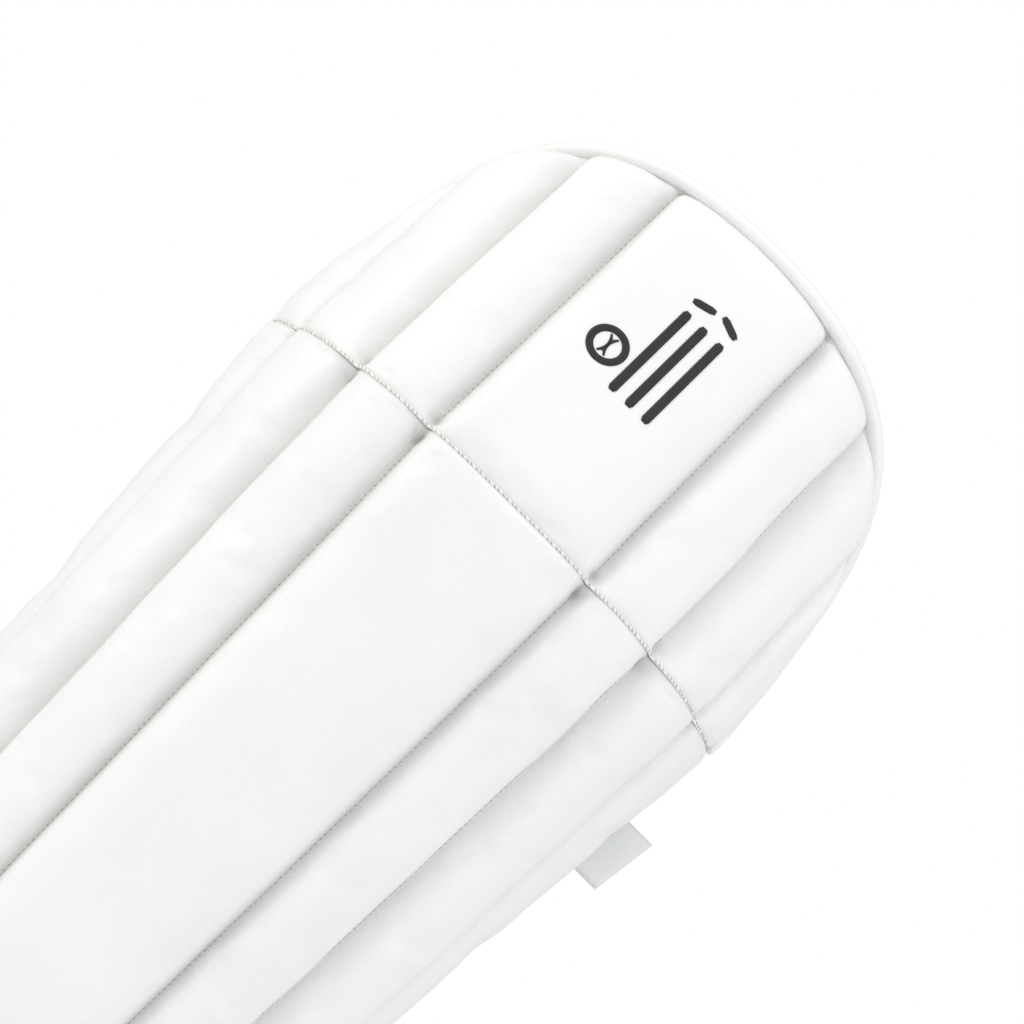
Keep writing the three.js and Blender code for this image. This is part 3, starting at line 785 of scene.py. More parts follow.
def quilt(name, point, rows, edge, thickness, ends):
    """A closed cover: its front swells as cloth between the sewn lines, its back lies on the board."""
    s = columns(edge)
    grid_s, grid_v = np.meshgrid(s, rows)
    front_t, held = thickness(grid_s, grid_v)
    front = point(grid_s, front_t, grid_v)
    seam = from_lines(grid_s, SEAMS)
    held = held | (seam < 0.05) | (np.abs(grid_s) > edge - 3)
    held[[0, -1]] = True
    held[:, [0, -1]] = True
    cover = make_object(name + "_cloth", front.reshape(-1, 3), grid_faces(*front.shape[:2]), None)
    if cover.data.polygons[len(s) // 2].normal.y > 0:
        cover.data.flip_normals()
    front = settle(cover, np.flatnonzero(held), *COVER_SWELL).reshape(front.shape)
    bpy.data.objects.remove(cover)
    from_end = ends(grid_s, grid_v)
    outward = point(grid_s, front_t + 1, grid_v) - point(grid_s, front_t, grid_v)
    front = front + outward * gathers(grid_s, from_end, edge)[..., None]
    back = point(grid_s, QUILT_BACK, grid_v)
    height = point(grid_s, 0.0, grid_v)[..., 2]
    obj = layer(name, front, back, WHITE_LEATHER, grid_s * MM, height)
    # Painted shade: the valley mask darkens the leather's colour beside each sewn line, most in the pocket by
    # a cross seam, and at the section's ends.
    pocket = np.exp(-(((from_end - 5.0) / 3.0) ** 2))
    valley = np.maximum(np.exp(-seam / VALLEY_WIDTH) * (0.55 + 0.45 * pocket), 0.5 * np.exp(-from_end))
    set_attribute(obj, "valley", np.tile(valley.ravel(), 2))
    obj.data.materials.append(COTTON)
    for polygon in obj.data.polygons:
        inside = all(i >= front.shape[0] * front.shape[1] for i in polygon.vertices)
        polygon.material_index = 1 if inside else 0
    subdivide(obj)
    return obj


def eased_rows(count, share, low, high):
    """Shares of a section's height from low to high, closer together towards its ends."""
    u = np.linspace(-1, 1, count)
    return low + (high - low) * (u * (1 - share) + np.sin(u * math.pi / 2) * share + 1) / 2


SHIN_LENGTH = KNEE_SEAM - INSTEP_SEAM


def shin_thickness(s, v):
    below, above = v * SHIN_LENGTH, (1 - v) * SHIN_LENGTH
    rise = crown_at(s, SHIN_CRESTS, SHIN_EDGE)
    top = rounded(above, np.where(rise < LOW_PANEL, SHIN_TOP_FLAT, SHIN_TOP))
    foot = rounded(below, SHIN_FOOT)
    t = FOOT + rise + (knee_seam_rise(s) - rise) * (1 - top) + (instep_seam_rise(s) - rise) * (1 - foot)
    t += softness(s, below)
    held = (above < 1.0) | (below < 1.0)
    return t, held


def knee_rim_distance(s, height):
    line = RIM_LINE * np.array([(RIM[0][0] - RIM_INSET) / RIM[0][0], (KNEE_LENGTH - RIM_INSET) / KNEE_LENGTH])
    reach = np.abs(s)[..., None] - line[:, 0]
    rise = height[..., None] - line[:, 1]
    return np.sqrt(reach**2 + rise**2).min(-1)


def knee_thickness(s, v):
    height = knee_rows(s, 5.0, v)
    from_seam = height - knee_rows(s, 5.0, 0.0)
    from_rim = knee_rim_distance(s, height)
    rise = crown_at(s, KNEE_CRESTS, KNEE_EDGE)
    seam = knee_seam_rise(s)
    t = seam + (rise - seam) * sloped(from_seam, KNEE_SLOPE)
    t = FOOT + t * rounded(from_rim - RIM_FLAT, RIM_ROUND)
    t += softness(s, height)
    held = (from_seam < 1.0) | (from_rim < 4.0)
    return t, held


def instep_thickness(s, v):
    low = plan(s, 0.0, ANKLE_SCALE, ANKLE_FOLD)[1]
    length = low * math.tan(MITRE) - instep_floor(low, s, HEM_HEIGHT)
    below, above = v * length, (1 - v) * length
    rise = crown_at(s, INSTEP_CRESTS, SHIN_EDGE)
    seam = instep_seam_rise(s)
    t = FOOT + (seam + (rise - seam) * sloped(above, INSTEP_SLOPE)) * rounded(below, HEM_ROUND)
    t += softness(s, below)
    return t, (above < 1.0) | (below < 1.0)


def shin_ends(s, v):
    """Distance to the nearer of the shin's two seams."""
    return np.minimum(v, 1 - v) * SHIN_LENGTH


def knee_ends(s, v):
    height = knee_rows(s, 5.0, v)
    return np.minimum(height - knee_rows(s, 5.0, 0.0), knee_rim_distance(s, height))


def instep_ends(s, v):
    return np.minimum(v, 1 - v) * (INSTEP_SEAM - HEM_HEIGHT)


shin_rows = eased_rows(96, 0.6, -SEAM_OVERLAP / SHIN_LENGTH, 1 + SEAM_OVERLAP / SHIN_LENGTH)
knee_rows_up = eased_rows(56, 0.5, -SEAM_OVERLAP / KNEE_LENGTH, 1)
instep_rows = eased_rows(30, 0.35, 0, 1 + SEAM_OVERLAP / INSTEP_SEAM)
shin_quilt = quilt("shin_quilt", shin_point, shin_rows, SHIN_EDGE, shin_thickness, shin_ends)
knee_quilt = quilt("knee_quilt", knee_point, knee_rows_up, KNEE_EDGE, knee_thickness, knee_ends)
instep_quilt = quilt("instep_quilt", instep_point, instep_rows, SHIN_EDGE, instep_thickness, instep_ends)
shin_surface, knee_surface, instep_surface = (surface_of(o) for o in (shin_quilt, knee_quilt, instep_quilt))

# ------------------------------------------------------------
# Stitching


def stitch(centre, along, normal, length, radius):
    """One lock stitch: a short round thread that dips into the leather at both ends."""
    side = np.cross(along, normal)
    side /= max(np.linalg.norm(side), 1e-9)
    up = np.cross(side, along)
    rings = []
    for share, size in ((-1.0, 0.35), (-0.72, 0.85), (0.0, 1.05), (0.72, 0.85), (1.0, 0.35)):
        angles = np.arange(6) * math.pi / 3
        round_part = np.outer(np.cos(angles), side) + np.outer(np.sin(angles), up)
        lift = up * (0.35 - 0.9 * abs(share) ** 3) * radius
        rings.append(centre + along * (share * length / 2) + round_part * radius * size + lift)
    return tube(np.array(rings))


def stitch_line(surface, point, s, v, pitch=STITCH_PITCH, high=60.0, low=-8.0):
    """Stitches along pattern points (s, v), laid on a surface met between two levels of t."""
    s, v = floats(s, v)
    fine = point(s, 2.0, v)
    run = distances(fine)
    count = max(2, int(run[-1] / (pitch * MM)))
    wanted = (np.arange(count) + 0.5) * run[-1] / count
    s, v = np.interp(wanted, run, s), np.interp(wanted, run, v)
    places, normals = drop(surface, point(s, high, v), point(s, low, v))
    along = np.gradient(places, axis=0)
    parts = []
    for place, normal, way in zip(places, normals, along):
        way = way / max(np.linalg.norm(way), 1e-9)
        way = units(way + np.cross(way, normal) * STITCH_SLANT)
        parts.append(stitch(place, way, normal, STITCH_LENGTH * MM, STITCH_RADIUS * MM))
    return parts


def both_sides(values):
    return [sign * value for value in values for sign in (-1, 1)]


def stitches(name, parts):
    points, faces = merged(parts)
    return make_object(name, points, faces, THREAD)


def upright(name, surface, point, low, high):
    """The stitches of a section's upright seams, between two shares of its height."""
    v = np.linspace(low, high, 60)
    return stitches(
        name, [p for s in both_sides(SEAMS) for p in stitch_line(surface, point, np.full(60, s), v)]
    )


shin_stitches = upright("shin_stitches", shin_surface, shin_point, 0.02, 0.98)
knee_stitches = upright("knee_stitches", knee_surface, knee_point, 0.05, 0.95)
instep_stitches = upright("instep_stitches", instep_surface, instep_point, 0.06, 0.95)

# ------------------------------------------------------------
# Piping, bindings and hem


def smooth_path(points, count):
    """A Catmull-Rom curve through points, resampled at equal steps."""
    p = np.array(points)
    ends = np.concatenate([[2 * p[0] - p[1]], p, [2 * p[-1] - p[-2]]])
    fine = []
    for i in range(1, len(ends) - 2):
        a, b, c, d = ends[i - 1], ends[i], ends[i + 1], ends[i + 2]
        f = np.linspace(0, 1, 12, endpoint=False)[:, None]
        squared = 2 * a - 5 * b + 4 * c - d
        cubed = 3 * b - a - 3 * c + d
        fine.append(0.5 * (2 * b + (c - a) * f + squared * f**2 + cubed * f**3))
    fine = np.concatenate([*fine, [ends[-2]]])
    return points_at(fine, np.linspace(0, distances(fine)[-1], count))


def cord_rings(path, outward, section, sizes):
    """Rings round a path: section gives each ring's points on its (outward, across) axes."""
    along = units(np.gradient(path, axis=0))
    out = units(outward - along * (outward * along).sum(1, keepdims=True))
    side = np.cross(along, out)
    offsets = section[None, :, 0, None] * out[:, None] + section[None, :, 1, None] * side[:, None]
    return path[:, None] + offsets * np.asarray(sizes)[:, None, None]


def squared_off(wave, power):
    """A wave between -1 and 1, flattened at its ends by a power under 1."""
    return np.sign(wave) * np.abs(wave) ** power


def ellipse(wide, deep, count=14, square=1.0):
    """The section of a cord, boxier where square is under 1."""
    a = np.arange(count) * 2 * math.pi / count
    across = wide * squared_off(np.cos(a), square)
    return np.stack([across, deep * squared_off(np.sin(a), square)], -1) * MM


def tapered(count, ends, least=0.45):
    """Sizes along a cord that narrow to least at both ends."""
    run = np.minimum(np.arange(count), np.arange(count)[::-1])
    return least + (1 - least) * np.clip(run / ends, 0, 1) ** 0.6


def sweep(name, path, outward, section, sizes, material):
    rings = cord_rings(path, outward, section, sizes)
    points, faces = tube(rings)
    obj = make_object(name, points, faces, material)
    run = distances(path)
    around = np.arange(len(section)) * 0.002
    lengthwise = np.repeat(run, len(section))
    pattern = np.stack([lengthwise, np.tile(around, len(path)), np.zeros_like(lengthwise)], -1)
    set_attribute(obj, "pattern", np.concatenate([pattern, pattern[:1], pattern[-1:]]))
    set_attribute(obj, "valley", np.zeros(len(points)))
    subdivide(obj)
    return obj


def rim_path():
    """The rim of the knee section from its left corner over the top to its right corner."""
    line = bezier(RIM, np.linspace(0, 1, 60))
    s = np.concatenate([-line[:, 0], line[-2::-1, 0]])
    h = np.concatenate([line[:, 1], line[-2::-1, 1]])
    t = PIPING_T + PIPING_TOP * (h / KNEE_LENGTH) ** 3 + PIPING_CORNER * np.exp(-h / 22)
    x, y = plan(s, t, knee_scale(h), 0.0)
    return leaned(x, y, np.maximum(h, y * math.tan(MITRE) + 3), KNEE_SEAM)


piping_path = smooth_path(rim_path(), PIPING_STEPS)
piping_out = piping_path - (ORIGIN + np.array([0.0, 0.02, (KNEE_SEAM + 60) * MM]))
piping_step = np.arange(PIPING_STEPS)
ripple = 1 + 0.02 * np.sin(piping_step * 0.9) + 0.015 * np.sin(piping_step * 2.3)
piping_sizes = tapered(PIPING_STEPS, 6, 0.4) * ripple
knee_piping = sweep(
    "knee_piping_cord", piping_path, piping_out, ellipse(*PIPING_RADII), piping_sizes, TRIM_LEATHER
)


def welt(name, point, v, edge, seam_rise):
    """The raised fold where two sections are sewn together, with slanted lock stitches over it."""
    s = np.linspace(-edge, edge, WELT_STEPS)
    t = FOOT + seam_rise(s) + 0.1
    path = point(s, t, v)
    outward = units(point(s, t + 1, v) - path)
    section = ellipse(WELT_RADIUS, WELT_RADIUS, 8)
    cord = sweep(name, path, outward, section, tapered(WELT_STEPS, 4), TRIM_LEATHER)
    run = distances(path)
    wanted = np.arange(2 * STITCH_PITCH * MM, run[-1] - STITCH_PITCH * MM, SEAM_PITCH * MM)
    along = units(np.gradient(path, axis=0))
    parts = []
    for place in wanted:
        i = int(np.searchsorted(run, place))
        way = units(along[i] + np.cross(along[i], outward[i]) * SEAM_SLANT)
        centre = path[i] + outward[i] * WELT_RADIUS * MM
        parts.append(stitch(centre, way, outward[i], SEAM_STITCH * MM, SEAM_THREAD * MM))
    return cord, stitches(name + "_stitches", parts)


knee_welt, knee_welt_stitches = welt("knee_seam_welt", knee_point, 0.0, KNEE_EDGE, knee_seam_rise)
instep_welt, instep_welt_stitches = welt(
    "instep_seam_welt", instep_point, 1.0, SHIN_EDGE - 1, instep_seam_rise
)


def hem_rings():
    """The bottom hem: a flat band over the lower edge, standing on the ground."""
    s = np.linspace(-SHIN_EDGE, SHIN_EDGE, 180)
    middle, half = sum(HEM_T) / 2, (HEM_T[1] - HEM_T[0]) / 2
    a = (np.arange(20) + 0.5) * 2 * math.pi / 20
    t = middle + half * squared_off(np.cos(a), HEM_SQUARE)
    h = HEM_HEIGHT / 2 + (HEM_HEIGHT / 2) * squared_off(np.sin(a), HEM_SQUARE)
    grid_s, grid_t = np.meshgrid(s, t, indexing="ij")
    grid_h = np.broadcast_to(h, grid_s.shape)
    x, y = plan(grid_s, grid_t, ANKLE_SCALE, ANKLE_FOLD)
    return leaned(x, y, instep_floor(y, grid_s, grid_h), INSTEP_SEAM)


hem_points, hem_faces = tube(hem_rings())
hem_band = make_object("instep_hem_band", hem_points, hem_faces, TRIM_LEATHER)
set_attribute(hem_band, "pattern", hem_points)
set_attribute(hem_band, "valley", np.zeros(len(hem_points)))

# ------------------------------------------------------------
# Linings and bolsters on the leg side


def lining(name, point, rows, edge, length):
    """The quilted cotton lining behind the board: channels sewn up it, each with a little wadding."""
    s = np.linspace(-edge + 0.6, edge - 0.6, 127)
    grid_s, grid_v = np.meshgrid(s, rows)
    height = grid_v * length
    channel = np.abs(np.sin(math.pi * grid_s / LINING_CHANNEL)) ** 0.55
    cross = 0.45 + 0.55 * np.abs(np.sin(math.pi * height / (2 * LINING_CHANNEL))) ** 0.5
    puff = LINING_PUFF * channel * cross * rounded(np.minimum(height, length - height), 8.0)
    front = point(grid_s, LINING_T[0], grid_v)
    back = point(grid_s, LINING_T[1] - 0.1 - puff, grid_v)
    obj = layer(name, front, back, COTTON, grid_s * MM, height * MM)
    lines = both_sides(np.arange(1, 6) * LINING_CHANNEL) + [0.0]
    surface = surface_of(obj)
    sewn = []
    for line in lines:
        v = np.linspace(0.03, 0.97 if abs(line) < 120 else 0.8, 60)
        sewn += stitch_line(surface, point, np.full(60, line), v, pitch=LINING_PITCH, high=-40.0, low=0.0)
    return obj, stitches(name + "_stitches", sewn)


shin_lining, shin_lining_stitches = lining(
    "shin_lining_cotton", shin_point, np.linspace(0.002, 0.998, 120), SHIN_EDGE, SHIN_LENGTH
)
knee_lining, knee_lining_stitches = lining(
    "knee_lining_cotton", knee_point, np.linspace(0.004, 0.985, 64), KNEE_EDGE, KNEE_LENGTH
)


def bolster(node, name):
    """A stuffed cotton roll: the plain solid, swollen as cloth and smoothed."""
    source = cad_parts[node]
    obj = bpy.data.objects.new(name, source.data.copy())
    bpy.context.scene.collection.objects.link(obj)
    remesh = obj.modifiers.new("Remesh", "REMESH")
    remesh.mode = "VOXEL"
    remesh.voxel_size = 0.004
    apply_modifiers(obj)
    settle(obj, [], *BOLSTER_SWELL)
    smooth = obj.modifiers.new("Smooth", "SMOOTH")
    smooth.factor = 0.5
    smooth.iterations = 3
    apply_modifiers(obj)
    subdivide(obj)
    at = coordinates(obj.data)
    set_attribute(obj, "pattern", np.stack([at[:, 0] + at[:, 1], at[:, 2], at[:, 1]], -1))
    obj.data.materials.clear()
    obj.data.materials.append(BOLSTER_COTTON)
    return obj


BOLSTERS = {
    "shin_bolster_left": "shin",
    "shin_bolster_right": "shin",
    "knee_rest_bolster": "shin",
    "knee_bolster_left": "knee",
    "knee_bolster_right": "knee",
}
bolsters = {node: bolster(node, node + "_cotton") for node in BOLSTERS}

# ------------------------------------------------------------
# Wings


def wing_outline():
    """The wing's edge on the pattern from its lower front corner round to its upper front corner."""
    turn = np.linspace(0, math.pi / 2, 24)
    wide = WING_REAR - WING_FLAT
    lower = np.stack([WING_FLAT + wide * np.sin(turn), WING_BOTTOM + WING_ROUND * (1 - np.cos(turn))], -1)
    upper = lower[::-1] * np.array([1, -1]) + np.array([0, WING_TOP + WING_BOTTOM])
    line = np.concatenate([[[WING_FROM, WING_BOTTOM]], lower, upper, [[WING_FROM, WING_TOP]]])
    return points_at(line, np.linspace(0, distances(line)[-1], WING_STEPS))


def wing_reach(z):
    """How far back the wing reaches at height z."""
    end = np.minimum(z - WING_BOTTOM, WING_TOP - z)
    f = np.clip(end / WING_ROUND, 0, 1)
    return WING_FLAT + (WING_REAR - WING_FLAT) * np.sqrt(1 - (1 - f) ** 2)


def wing(side, name):
    """A padded side flap with two sewn channels, caught in the edge of the shin quilt."""
    corner = WING_ROUND * (1 - np.cos(np.linspace(0, math.pi / 2, 16)))
    straight = np.linspace(WING_BOTTOM + WING_ROUND + 4, WING_TOP - WING_ROUND - 4, 74)
    z = np.concatenate([WING_BOTTOM + corner, straight, WING_TOP - corner[::-1]])
    u = np.linspace(0, 1, 34)
    grid_u, grid_z = np.meshgrid(u, z)
    s = WING_FROM + (wing_reach(grid_z) - WING_FROM) * grid_u
    lines = [WING_FROM, *WING_CHANNELS, WING_REAR]
    puff = np.zeros_like(s)
    for low, high in zip(lines, lines[1:]):
        inside = (s >= low) & (s <= high)
        f = np.clip(1 - np.abs(2 * s - low - high) ** 2 / (high - low) ** 2, 0, 1) ** 0.6
        puff = np.where(inside, f, puff)
    ends = rounded(np.minimum(grid_z - WING_BOTTOM, WING_TOP - grid_z), 14.0)
    puff = puff * ends * rounded((1 - grid_u) * 40, 9.0)
    uneven = softness(s * 2, grid_z, 0.1) * ends
    front = shin_plain(side * s, WING_T[0] + 6.0 + WING_PUFF[0] * puff + uneven * 0.5, grid_z)
    back = shin_plain(side * s, WING_T[0] + 0.6 - WING_PUFF[1] * puff, grid_z)
    obj = layer(name, front, back, WHITE_LEATHER, s * MM, grid_z * MM)
    # Painted shade: the valley mask darkens the leather's colour along the wing's sewn lines.
    valley = np.exp(-from_lines(s, (WING_FROM, *WING_CHANNELS)) / VALLEY_WIDTH).ravel()
    set_attribute(obj, "valley", np.tile(valley, 2))
    subdivide(obj)
    return obj


def wing_binding(side, name):
    """The rolled binding round the wing's free edges."""
    outline = wing_outline()
    middle = (WING_T[0] + WING_T[1]) / 2
    inner = outline + (np.array([WING_FROM + 10, (WING_TOP + WING_BOTTOM) / 2]) - outline) * 0.02
    path = shin_plain(side * outline[:, 0], middle, outline[:, 1])
    outward = path - shin_plain(side * inner[:, 0], middle, inner[:, 1])
    section = ellipse(4.0, 3.9, 16, 0.75)
    return sweep(name, path, outward, section, tapered(WING_STEPS, 3, 0.7), TRIM_LEATHER)


def on_side(side):
    """The shin's point function for one side of the pad, with s counted outwards."""
    return lambda s, t, z: shin_plain(side * s, t, z)


def wing_stitches(side, surface, name):
    """Two rows up the wing's channels, and one inside its edge."""
    z = np.linspace(WING_BOTTOM + 8, WING_TOP - 8, 80)
    rows = [(np.full(80, s), z) for s in WING_CHANNELS]
    outline = wing_outline()
    middle = (WING_TOP + WING_BOTTOM) / 2
    pulled_s = np.maximum(outline[:, 0] - WING_HEMLINE, WING_FROM + 4)
    pulled_z = middle + (outline[:, 1] - middle) * (1 - WING_HEMLINE / (WING_TOP - middle))
    rows.append((pulled_s, pulled_z))
    parts = []
    for s, heights in rows:
        parts += stitch_line(surface, on_side(side), s, heights, pitch=WING_PITCH, high=12.0)
    return stitches(name, parts)


wings = {name: wing(side, "wing_panel_" + name) for name, side in SIDES.items()}
bindings = {name: wing_binding(side, "wing_edge_" + name) for name, side in SIDES.items()}
wing_seams = {}
for name, side in SIDES.items():
    wing_seams[name] = wing_stitches(side, surface_of(wings[name]), "wing_stitches_" + name)

# ------------------------------------------------------------
# Straps


def strap_path(z):
    """Plan points and outward normals of a strap's centre line at height z, hinge to tail."""
    outwards = np.array([math.cos(WING_ANGLE), math.sin(WING_ANGLE), 0.0])
    mirrored = outwards * np.array([-1, 1, 1])
    root_t = PATCH_T + STRAP_THICKNESS / 2
    root = shin_plain(-HINGE_S - 0.3, root_t, z)
    turn = shin_plain(WING_REAR + 6, TAIL_T, z)
    tail = shin_plain(WING_REAR - TAIL_LENGTH, TAIL_T, z)
    root_pull = root + mirrored * STRAP_BULGE * MM
    turn_pull = turn + outwards * STRAP_BULGE * MM
    span = bezier((root, root_pull, turn_pull, turn), np.linspace(0, 1, 56))
    straight = turn + (tail - turn) * np.linspace(0, 1, 14)[1:, None]
    path = np.concatenate([span, straight])
    along = np.gradient(path, axis=0)
    return path, units(np.stack([-along[:, 1], along[:, 0], along[:, 0] * 0], -1))


def webbing(name, z, width):
    """The strap's webbing, with rounded edges and a folded tail."""
    across = np.array([-1.0, -0.97, -0.9, -0.5, 0.0, 0.5, 0.9, 0.97, 1.0])
    thick = np.array([0.45, 0.8, 1.0, 1.0, 1.0, 1.0, 1.0, 0.8, 0.45])
    levels = [strap_path(z + share * width / 2) for share in across]
    path = np.stack([p for p, _ in levels], 1)
    normal = np.stack([n for _, n in levels], 1)
    half = STRAP_THICKNESS / 2 * MM * thick[None, :, None]
    tail = np.ones(len(path))
    tail[-3:] = (1.15, 1.15, 0.9)
    half = half * tail[:, None, None]
    run, over = np.meshgrid(distances(path[:, 4]), across * width / 2 * MM, indexing="ij")
    obj = layer(name, path + normal * half, path - normal * half, WEBBING, run, over)
    subdivide(obj)
    return obj


def patch(name, s_range, t_range, z_range, side, material):
    """A thin tape patch on a wing, its edges rounded."""
    u = np.array([0, 0.02, 0.08, 0.3, 0.5, 0.7, 0.92, 0.98, 1.0])
    grid_v, grid_u = np.meshgrid(u, u, indexing="ij")
    s = s_range[0] + (s_range[1] - s_range[0]) * grid_u
    z = z_range[0] + (z_range[1] - z_range[0]) * grid_v
    inset = np.minimum(np.minimum(grid_u, 1 - grid_u), np.minimum(grid_v, 1 - grid_v))
    rise = np.clip(inset / 0.05, 0, 1) ** 0.5
    thickness = (t_range[1] - t_range[0]) * (0.55 + 0.45 * rise)
    top = shin_plain(side * s, t_range[0] + thickness, z)
    obj = layer(name, top, shin_plain(side * s, t_range[0], z), material, s * MM, z * MM)
    subdivide(obj)
    return obj


def border_stitches(name, surface, s_range, z_range, side, cross=False):
    """A row of stitches round a patch, with a cross between its corners where it carries load."""
    (s0, s1), (z0, z1) = s_range, z_range
    runs = [((s0, z0), (s1, z0)), ((s1, z0), (s1, z1)), ((s1, z1), (s0, z1)), ((s0, z1), (s0, z0))]
    if cross:
        runs += [((s0, z0), (s1, z1)), ((s0, z1), (s1, z0))]
    parts = []
    for (a, b), (c, d) in runs:
        parts += stitch_line(surface, on_side(side), np.linspace(a, c, 20), np.linspace(b, d, 20), high=16.0)
    return stitches(name, parts)


strap_pieces = {}
for strap, (z, width) in STRAPS.items():
    low, high = z - width / 2, z + width / 2
    inset = (low + 3, high - 3)
    band = webbing(f"strap_{strap}_band", z, width)
    hook = patch(f"strap_{strap}_hook_tape", HOOK_S, HOOK_T, inset, 1, HOOK)
    loop = patch(f"strap_{strap}_loop_tape", LOOP_S, LOOP_T, inset, 1, LOOP)
    root = patch(f"strap_{strap}_root", ROOT_S, ROOT_T, (low, high), -1, WEBBING)
    sewn = border_stitches(
        f"strap_{strap}_root_stitches", surface_of(root), ROOT_SEWN_S, inset, -1, cross=True
    )
    tail_z = (low + 5, high - 5)
    tail_sewn = border_stitches(f"strap_{strap}_tail_stitches", surface_of(band), TAIL_SEWN_S, tail_z, 1)
    strap_pieces[strap] = (band, hook, loop, root, sewn, tail_sewn)

# ------------------------------------------------------------
# Label and emblem


def label():
    """A blank woven tab, folded over on itself, with its ends caught in the edge seam."""
    curl = math.pi * LABEL_GAP
    run = np.linspace(0, 1, 26) * (2 * LABEL_REACH + curl)
    angle = (run - LABEL_REACH) / LABEL_GAP
    on_turn = (run >= LABEL_REACH) & (run <= LABEL_REACH + curl)
    past = run > LABEL_REACH + curl
    t = np.where(on_turn, LABEL_REACH + LABEL_GAP * np.sin(angle), run)
    t = np.where(past, 2 * LABEL_REACH + curl - run, t)
    offset = np.where(on_turn, -LABEL_GAP * np.cos(angle), np.where(past, LABEL_GAP, -LABEL_GAP))
    offset = offset + 0.9 * (t / LABEL_REACH) ** 2
    z = np.linspace(*LABEL_HEIGHTS, 12)
    grid_z, grid_t = np.meshgrid(z, t)
    middle = LABEL_S + np.meshgrid(z, offset)[1] + 0.25 * np.sin(grid_z / 7) * grid_t / LABEL_REACH
    way = units(np.gradient(np.stack([t, offset], -1), axis=0))
    normal = np.stack([way[:, 1], -way[:, 0]], -1) * LABEL_THICKNESS / 2
    front = shin_plain(middle + normal[:, 1:2], grid_t + normal[:, :1], grid_z)
    back = shin_plain(middle - normal[:, 1:2], grid_t - normal[:, :1], grid_z)
    return layer("label_tab_weave", front, back, LABEL, grid_t * MM, grid_z * MM)


size_label = label()


def printed_on_knee(flat):
    """Upper and lower points of a print on the knee quilt, from points about the emblem's middle."""
    s, h = flat[..., 0].ravel() + EMBLEM[0], flat[..., 1].ravel() + EMBLEM[1]
    places, normals = drop(knee_surface, knee_at(s, 60.0, h), knee_at(s, -5.0, h))
    shape = (*flat.shape[:-1], 3)
    top = (places + normals * PRINT_LIFT * MM).reshape(shape)
    return top, (places - normals * PRINT_DEPTH * MM).reshape(shape)


def print_band(line, width):
    """A printed line of one width through points of the emblem's plane, with blunt ends."""
    line = np.array(line, float)
    length = distances(line)[-1]
    wanted = np.linspace(0, length, max(6, int(length / 1.6)))
    middle = points_at(line, wanted)
    along = units(np.gradient(middle, axis=0))
    side = np.stack([-along[:, 1], along[:, 0]], -1)
    from_end = np.minimum(wanted, length - wanted)
    half = width / 2 * np.sqrt(np.clip(1 - (1 - np.clip(from_end / (width * 0.3), 0, 1)) ** 2, 0.36, 1))
    outward = side[:, None] * np.linspace(-1, 1, 5)[None, :, None] * half[:, None, None]
    return shell(*printed_on_knee(middle[:, None] + outward))


def print_ring(centre, radius, width):
    """A printed ring of the emblem."""
    count = 56
    a = np.arange(count) * 2 * math.pi / count
    unit = np.stack([np.cos(a), np.sin(a)], -1)
    reach = np.linspace(radius - width / 2, radius + width / 2, 4)
    top, bottom = printed_on_knee(np.array(centre) + unit[:, None] * reach[None, :, None])
    sections = np.concatenate([top, bottom[:, ::-1]], 1)
    around = sections.shape[1]
    faces = []
    for i in range(count):
        for j in range(around):
            after, below = (i + 1) % count, (j + 1) % around
            faces.append([i * around + j, after * around + j, after * around + below, i * around + below])
    return sections.reshape(-1, 3), faces


def arc(centre, radius, start, end):
    a = np.radians(np.linspace(start, end, 18))
    return np.stack([centre[0] + radius * np.cos(a), centre[1] + radius * np.sin(a)], -1)


def emblem():
    """A generic mark of the sport: three stumps, their two bails knocked up, and a ball with its seam."""
    parts = [print_band([(x, end) for end in STUMP_ENDS], STUMP_WIDTH) for x in STUMPS]
    parts += [print_band(bail, BAIL_WIDTH) for bail in BAILS]
    parts.append(print_ring(BALL, BALL_RADIUS, BALL_WIDTH))
    for side, facing in ((-1, 0), (1, 180)):
        centre = (BALL[0] + side * BALL_SEAM, BALL[1])
        seam = arc(centre, BALL_SEAM, facing - BALL_SEAM_TURN, facing + BALL_SEAM_TURN)
        parts.append(print_band(seam, BALL_SEAM_WIDTH))
    points, faces = merged(parts)
    return make_object("knee_emblem_print", points, faces, CHARCOAL)


knee_emblem = emblem()

# ------------------------------------------------------------
# Joining everything to the frame


PANELS = [side + "_" + hand for side in ("inner", "outer", "edge") for hand in SIDES] + ["centre"]
CANES = [f"cane_{row}_{hand}" for row in ("inner", "outer") for hand in SIDES]
CANES += [f"cane_centre_{i}" for i in (1, 2, 3)]

for section, piece in (("shin", shin_quilt), ("knee", knee_quilt), ("instep", instep_quilt)):
    nodes = [f"{section}_padding_{panel}" for panel in PANELS] + [section + "_facing"]
    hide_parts(*nodes, *(CANES if section == "shin" else []))
KNEE_BENDING = (shin_quilt, shin_stitches, knee_quilt, knee_stitches, knee_welt, knee_welt_stitches)
LINING_SEAMS = (shin_lining_stitches, knee_lining_stitches)
for piece in KNEE_BENDING + (knee_piping, shin_lining, knee_lining) + LINING_SEAMS:
    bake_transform(piece)
INSTEP_SEAMS = (instep_stitches, instep_welt, instep_welt_stitches)
for piece in (instep_quilt,) + INSTEP_SEAMS:
    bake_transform(piece)

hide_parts("shin_lining")
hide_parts("knee_lining")

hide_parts("knee_piping")
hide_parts("instep_hem")
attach(hem_band, "instep")

for node, body in BOLSTERS.items():
    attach(bolsters[node], body)
    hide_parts(node)

for hand in SIDES:
    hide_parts("wing_" + hand)
    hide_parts("wing_binding_" + hand)
    for piece, name in ((wings[hand], "wing"), (bindings[hand], "binding"), (wing_seams[hand], "wing")):
        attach(piece, "shin")

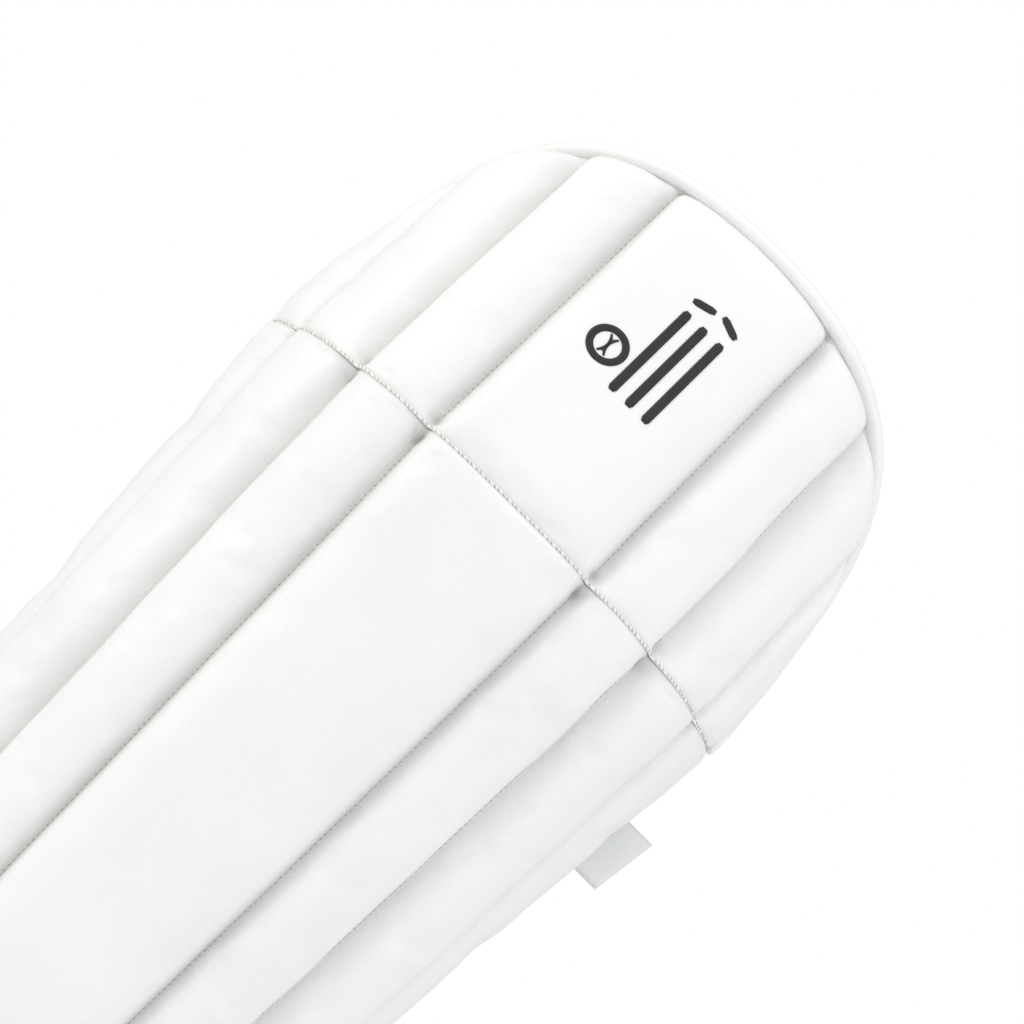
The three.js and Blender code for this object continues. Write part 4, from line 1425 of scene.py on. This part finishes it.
for strap, (band, hook, loop, root, sewn, tail_sewn) in strap_pieces.items():
    for piece, node, body, name in (
        (band, "webbing", "strap_" + strap, "webbing"),
        (hook, "hook_patch", "strap_" + strap, "hook"),
        (loop, "loop_patch", "shin", "loop"),
        (root, "root_tab", "shin", "webbing"),
    ):
        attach(piece, body)
        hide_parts(f"strap_{strap}_{node}")
    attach(sewn, "shin")
    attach(tail_sewn, "strap_" + strap)

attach(size_label, "shin")
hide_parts("label_tab")
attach(knee_emblem, "knee")

for node in ("shin_backing_board", "knee_backing_board", "instep_backing"):
    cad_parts[node].data.materials.clear()
    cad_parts[node].data.materials.append(BOARD_FOAM)

# ------------------------------------------------------------
# Camera, light and floor


def plain_floor():
    size, height = 1.15, -0.001
    bpy.ops.mesh.primitive_circle_add(vertices=96, radius=size, fill_type="NGON", location=(0, 0, height))
    floor = bpy.context.object
    floor.name = "studio_floor"
    look = Look("studio_floor", 0.9, 0.2)
    look.colour((0.93, 0.93, 0.93))
    floor.data.materials.append(look.material)


def softbox(name, place, aim, size, power, colour):
    lamp = bpy.data.lights.new(name, "AREA")
    lamp.shape = "RECTANGLE"
    lamp.size, lamp.size_y = size
    lamp.energy = power
    lamp.color = colour
    obj = bpy.data.objects.new(name, lamp)
    obj.location = place
    obj.rotation_euler = (Vector(aim) - Vector(place)).to_track_quat("-Z", "Y").to_euler()
    bpy.context.scene.collection.objects.link(obj)


def white_room(strength):
    """A white background for the camera, and softer white light for the object."""
    world = bpy.data.worlds.new("studio")
    bpy.context.scene.world = world
    world.use_nodes = True
    nodes, links = world.node_tree.nodes, world.node_tree.links
    ambient = nodes["Background"]
    ambient.inputs["Color"].default_value = (1.0, 1.0, 1.0, 1.0)
    ambient.inputs["Strength"].default_value = strength
    seen = nodes.new("ShaderNodeBackground")
    seen.inputs["Strength"].default_value = 1.0
    seen.inputs["Color"].default_value = (1.0, 1.0, 1.0, 1.0)
    ray = nodes.new("ShaderNodeLightPath")
    chosen = nodes.new("ShaderNodeMixShader")
    links.new(ray.outputs["Is Camera Ray"], chosen.inputs[0])
    links.new(ambient.outputs[0], chosen.inputs[1])
    links.new(seen.outputs[0], chosen.inputs[2])
    links.new(chosen.outputs[0], nodes["World Output"].inputs[0])


CAMERA_AZIMUTH = 3.0 * DEG
CAMERA_ELEVATION = -6 * DEG
CAMERA_DISTANCE = 3.0
VIEW_WIDTH = 0.442  # how much is seen from side to side at the knee seam
SENSOR = 36.0
VIEW_SHIFT = (0.0022, -0.0035)


def camera():
    """Looks at the knee seam from just below, turned so that the pad lies across the view's diagonal."""
    lens = bpy.data.cameras.new("camera")
    lens.sensor_width = SENSOR
    lens.lens = SENSOR * CAMERA_DISTANCE / VIEW_WIDTH
    lens.clip_start = 0.05
    obj = bpy.data.objects.new("camera", lens)
    bpy.context.scene.collection.objects.link(obj)
    flat = Vector((math.sin(CAMERA_AZIMUTH), -math.cos(CAMERA_AZIMUTH), 0))
    toward = flat * math.cos(CAMERA_ELEVATION) + Vector((0, 0, math.sin(CAMERA_ELEVATION)))
    level = Vector((0, 0, 1)).cross(toward).normalized()
    upright = toward.cross(level)
    right = (upright + level).normalized()
    top = (upright - level).normalized()
    target = Vector(ORIGIN) + Vector((0, -0.02, KNEE_SEAM * MM))
    target += right * VIEW_SHIFT[0] + top * VIEW_SHIFT[1]
    turn = Matrix((right, top, toward)).transposed()
    obj.matrix_world = Matrix.Translation(target + toward * CAMERA_DISTANCE) @ turn.to_4x4()
    bpy.context.scene.camera = obj


plain_floor()
white_room(0.7)
softbox("softbox_left", (-1.25, -0.75, 0.95), (0, 0, 0.42), (0.9, 1.2), 7.8, (1.0, 0.985, 0.955))
softbox("softbox_right", (1.25, -0.75, 0.95), (0, 0, 0.42), (0.9, 1.2), 5.2, (0.92, 0.955, 1.0))
softbox("softbox_top", (0.0, -0.7, 1.7), (0, 0, 0.4), (0.9, 0.6), 3.0, (1.0, 1.0, 1.0))
camera()
bpy.context.scene.view_settings.view_transform = "Standard"
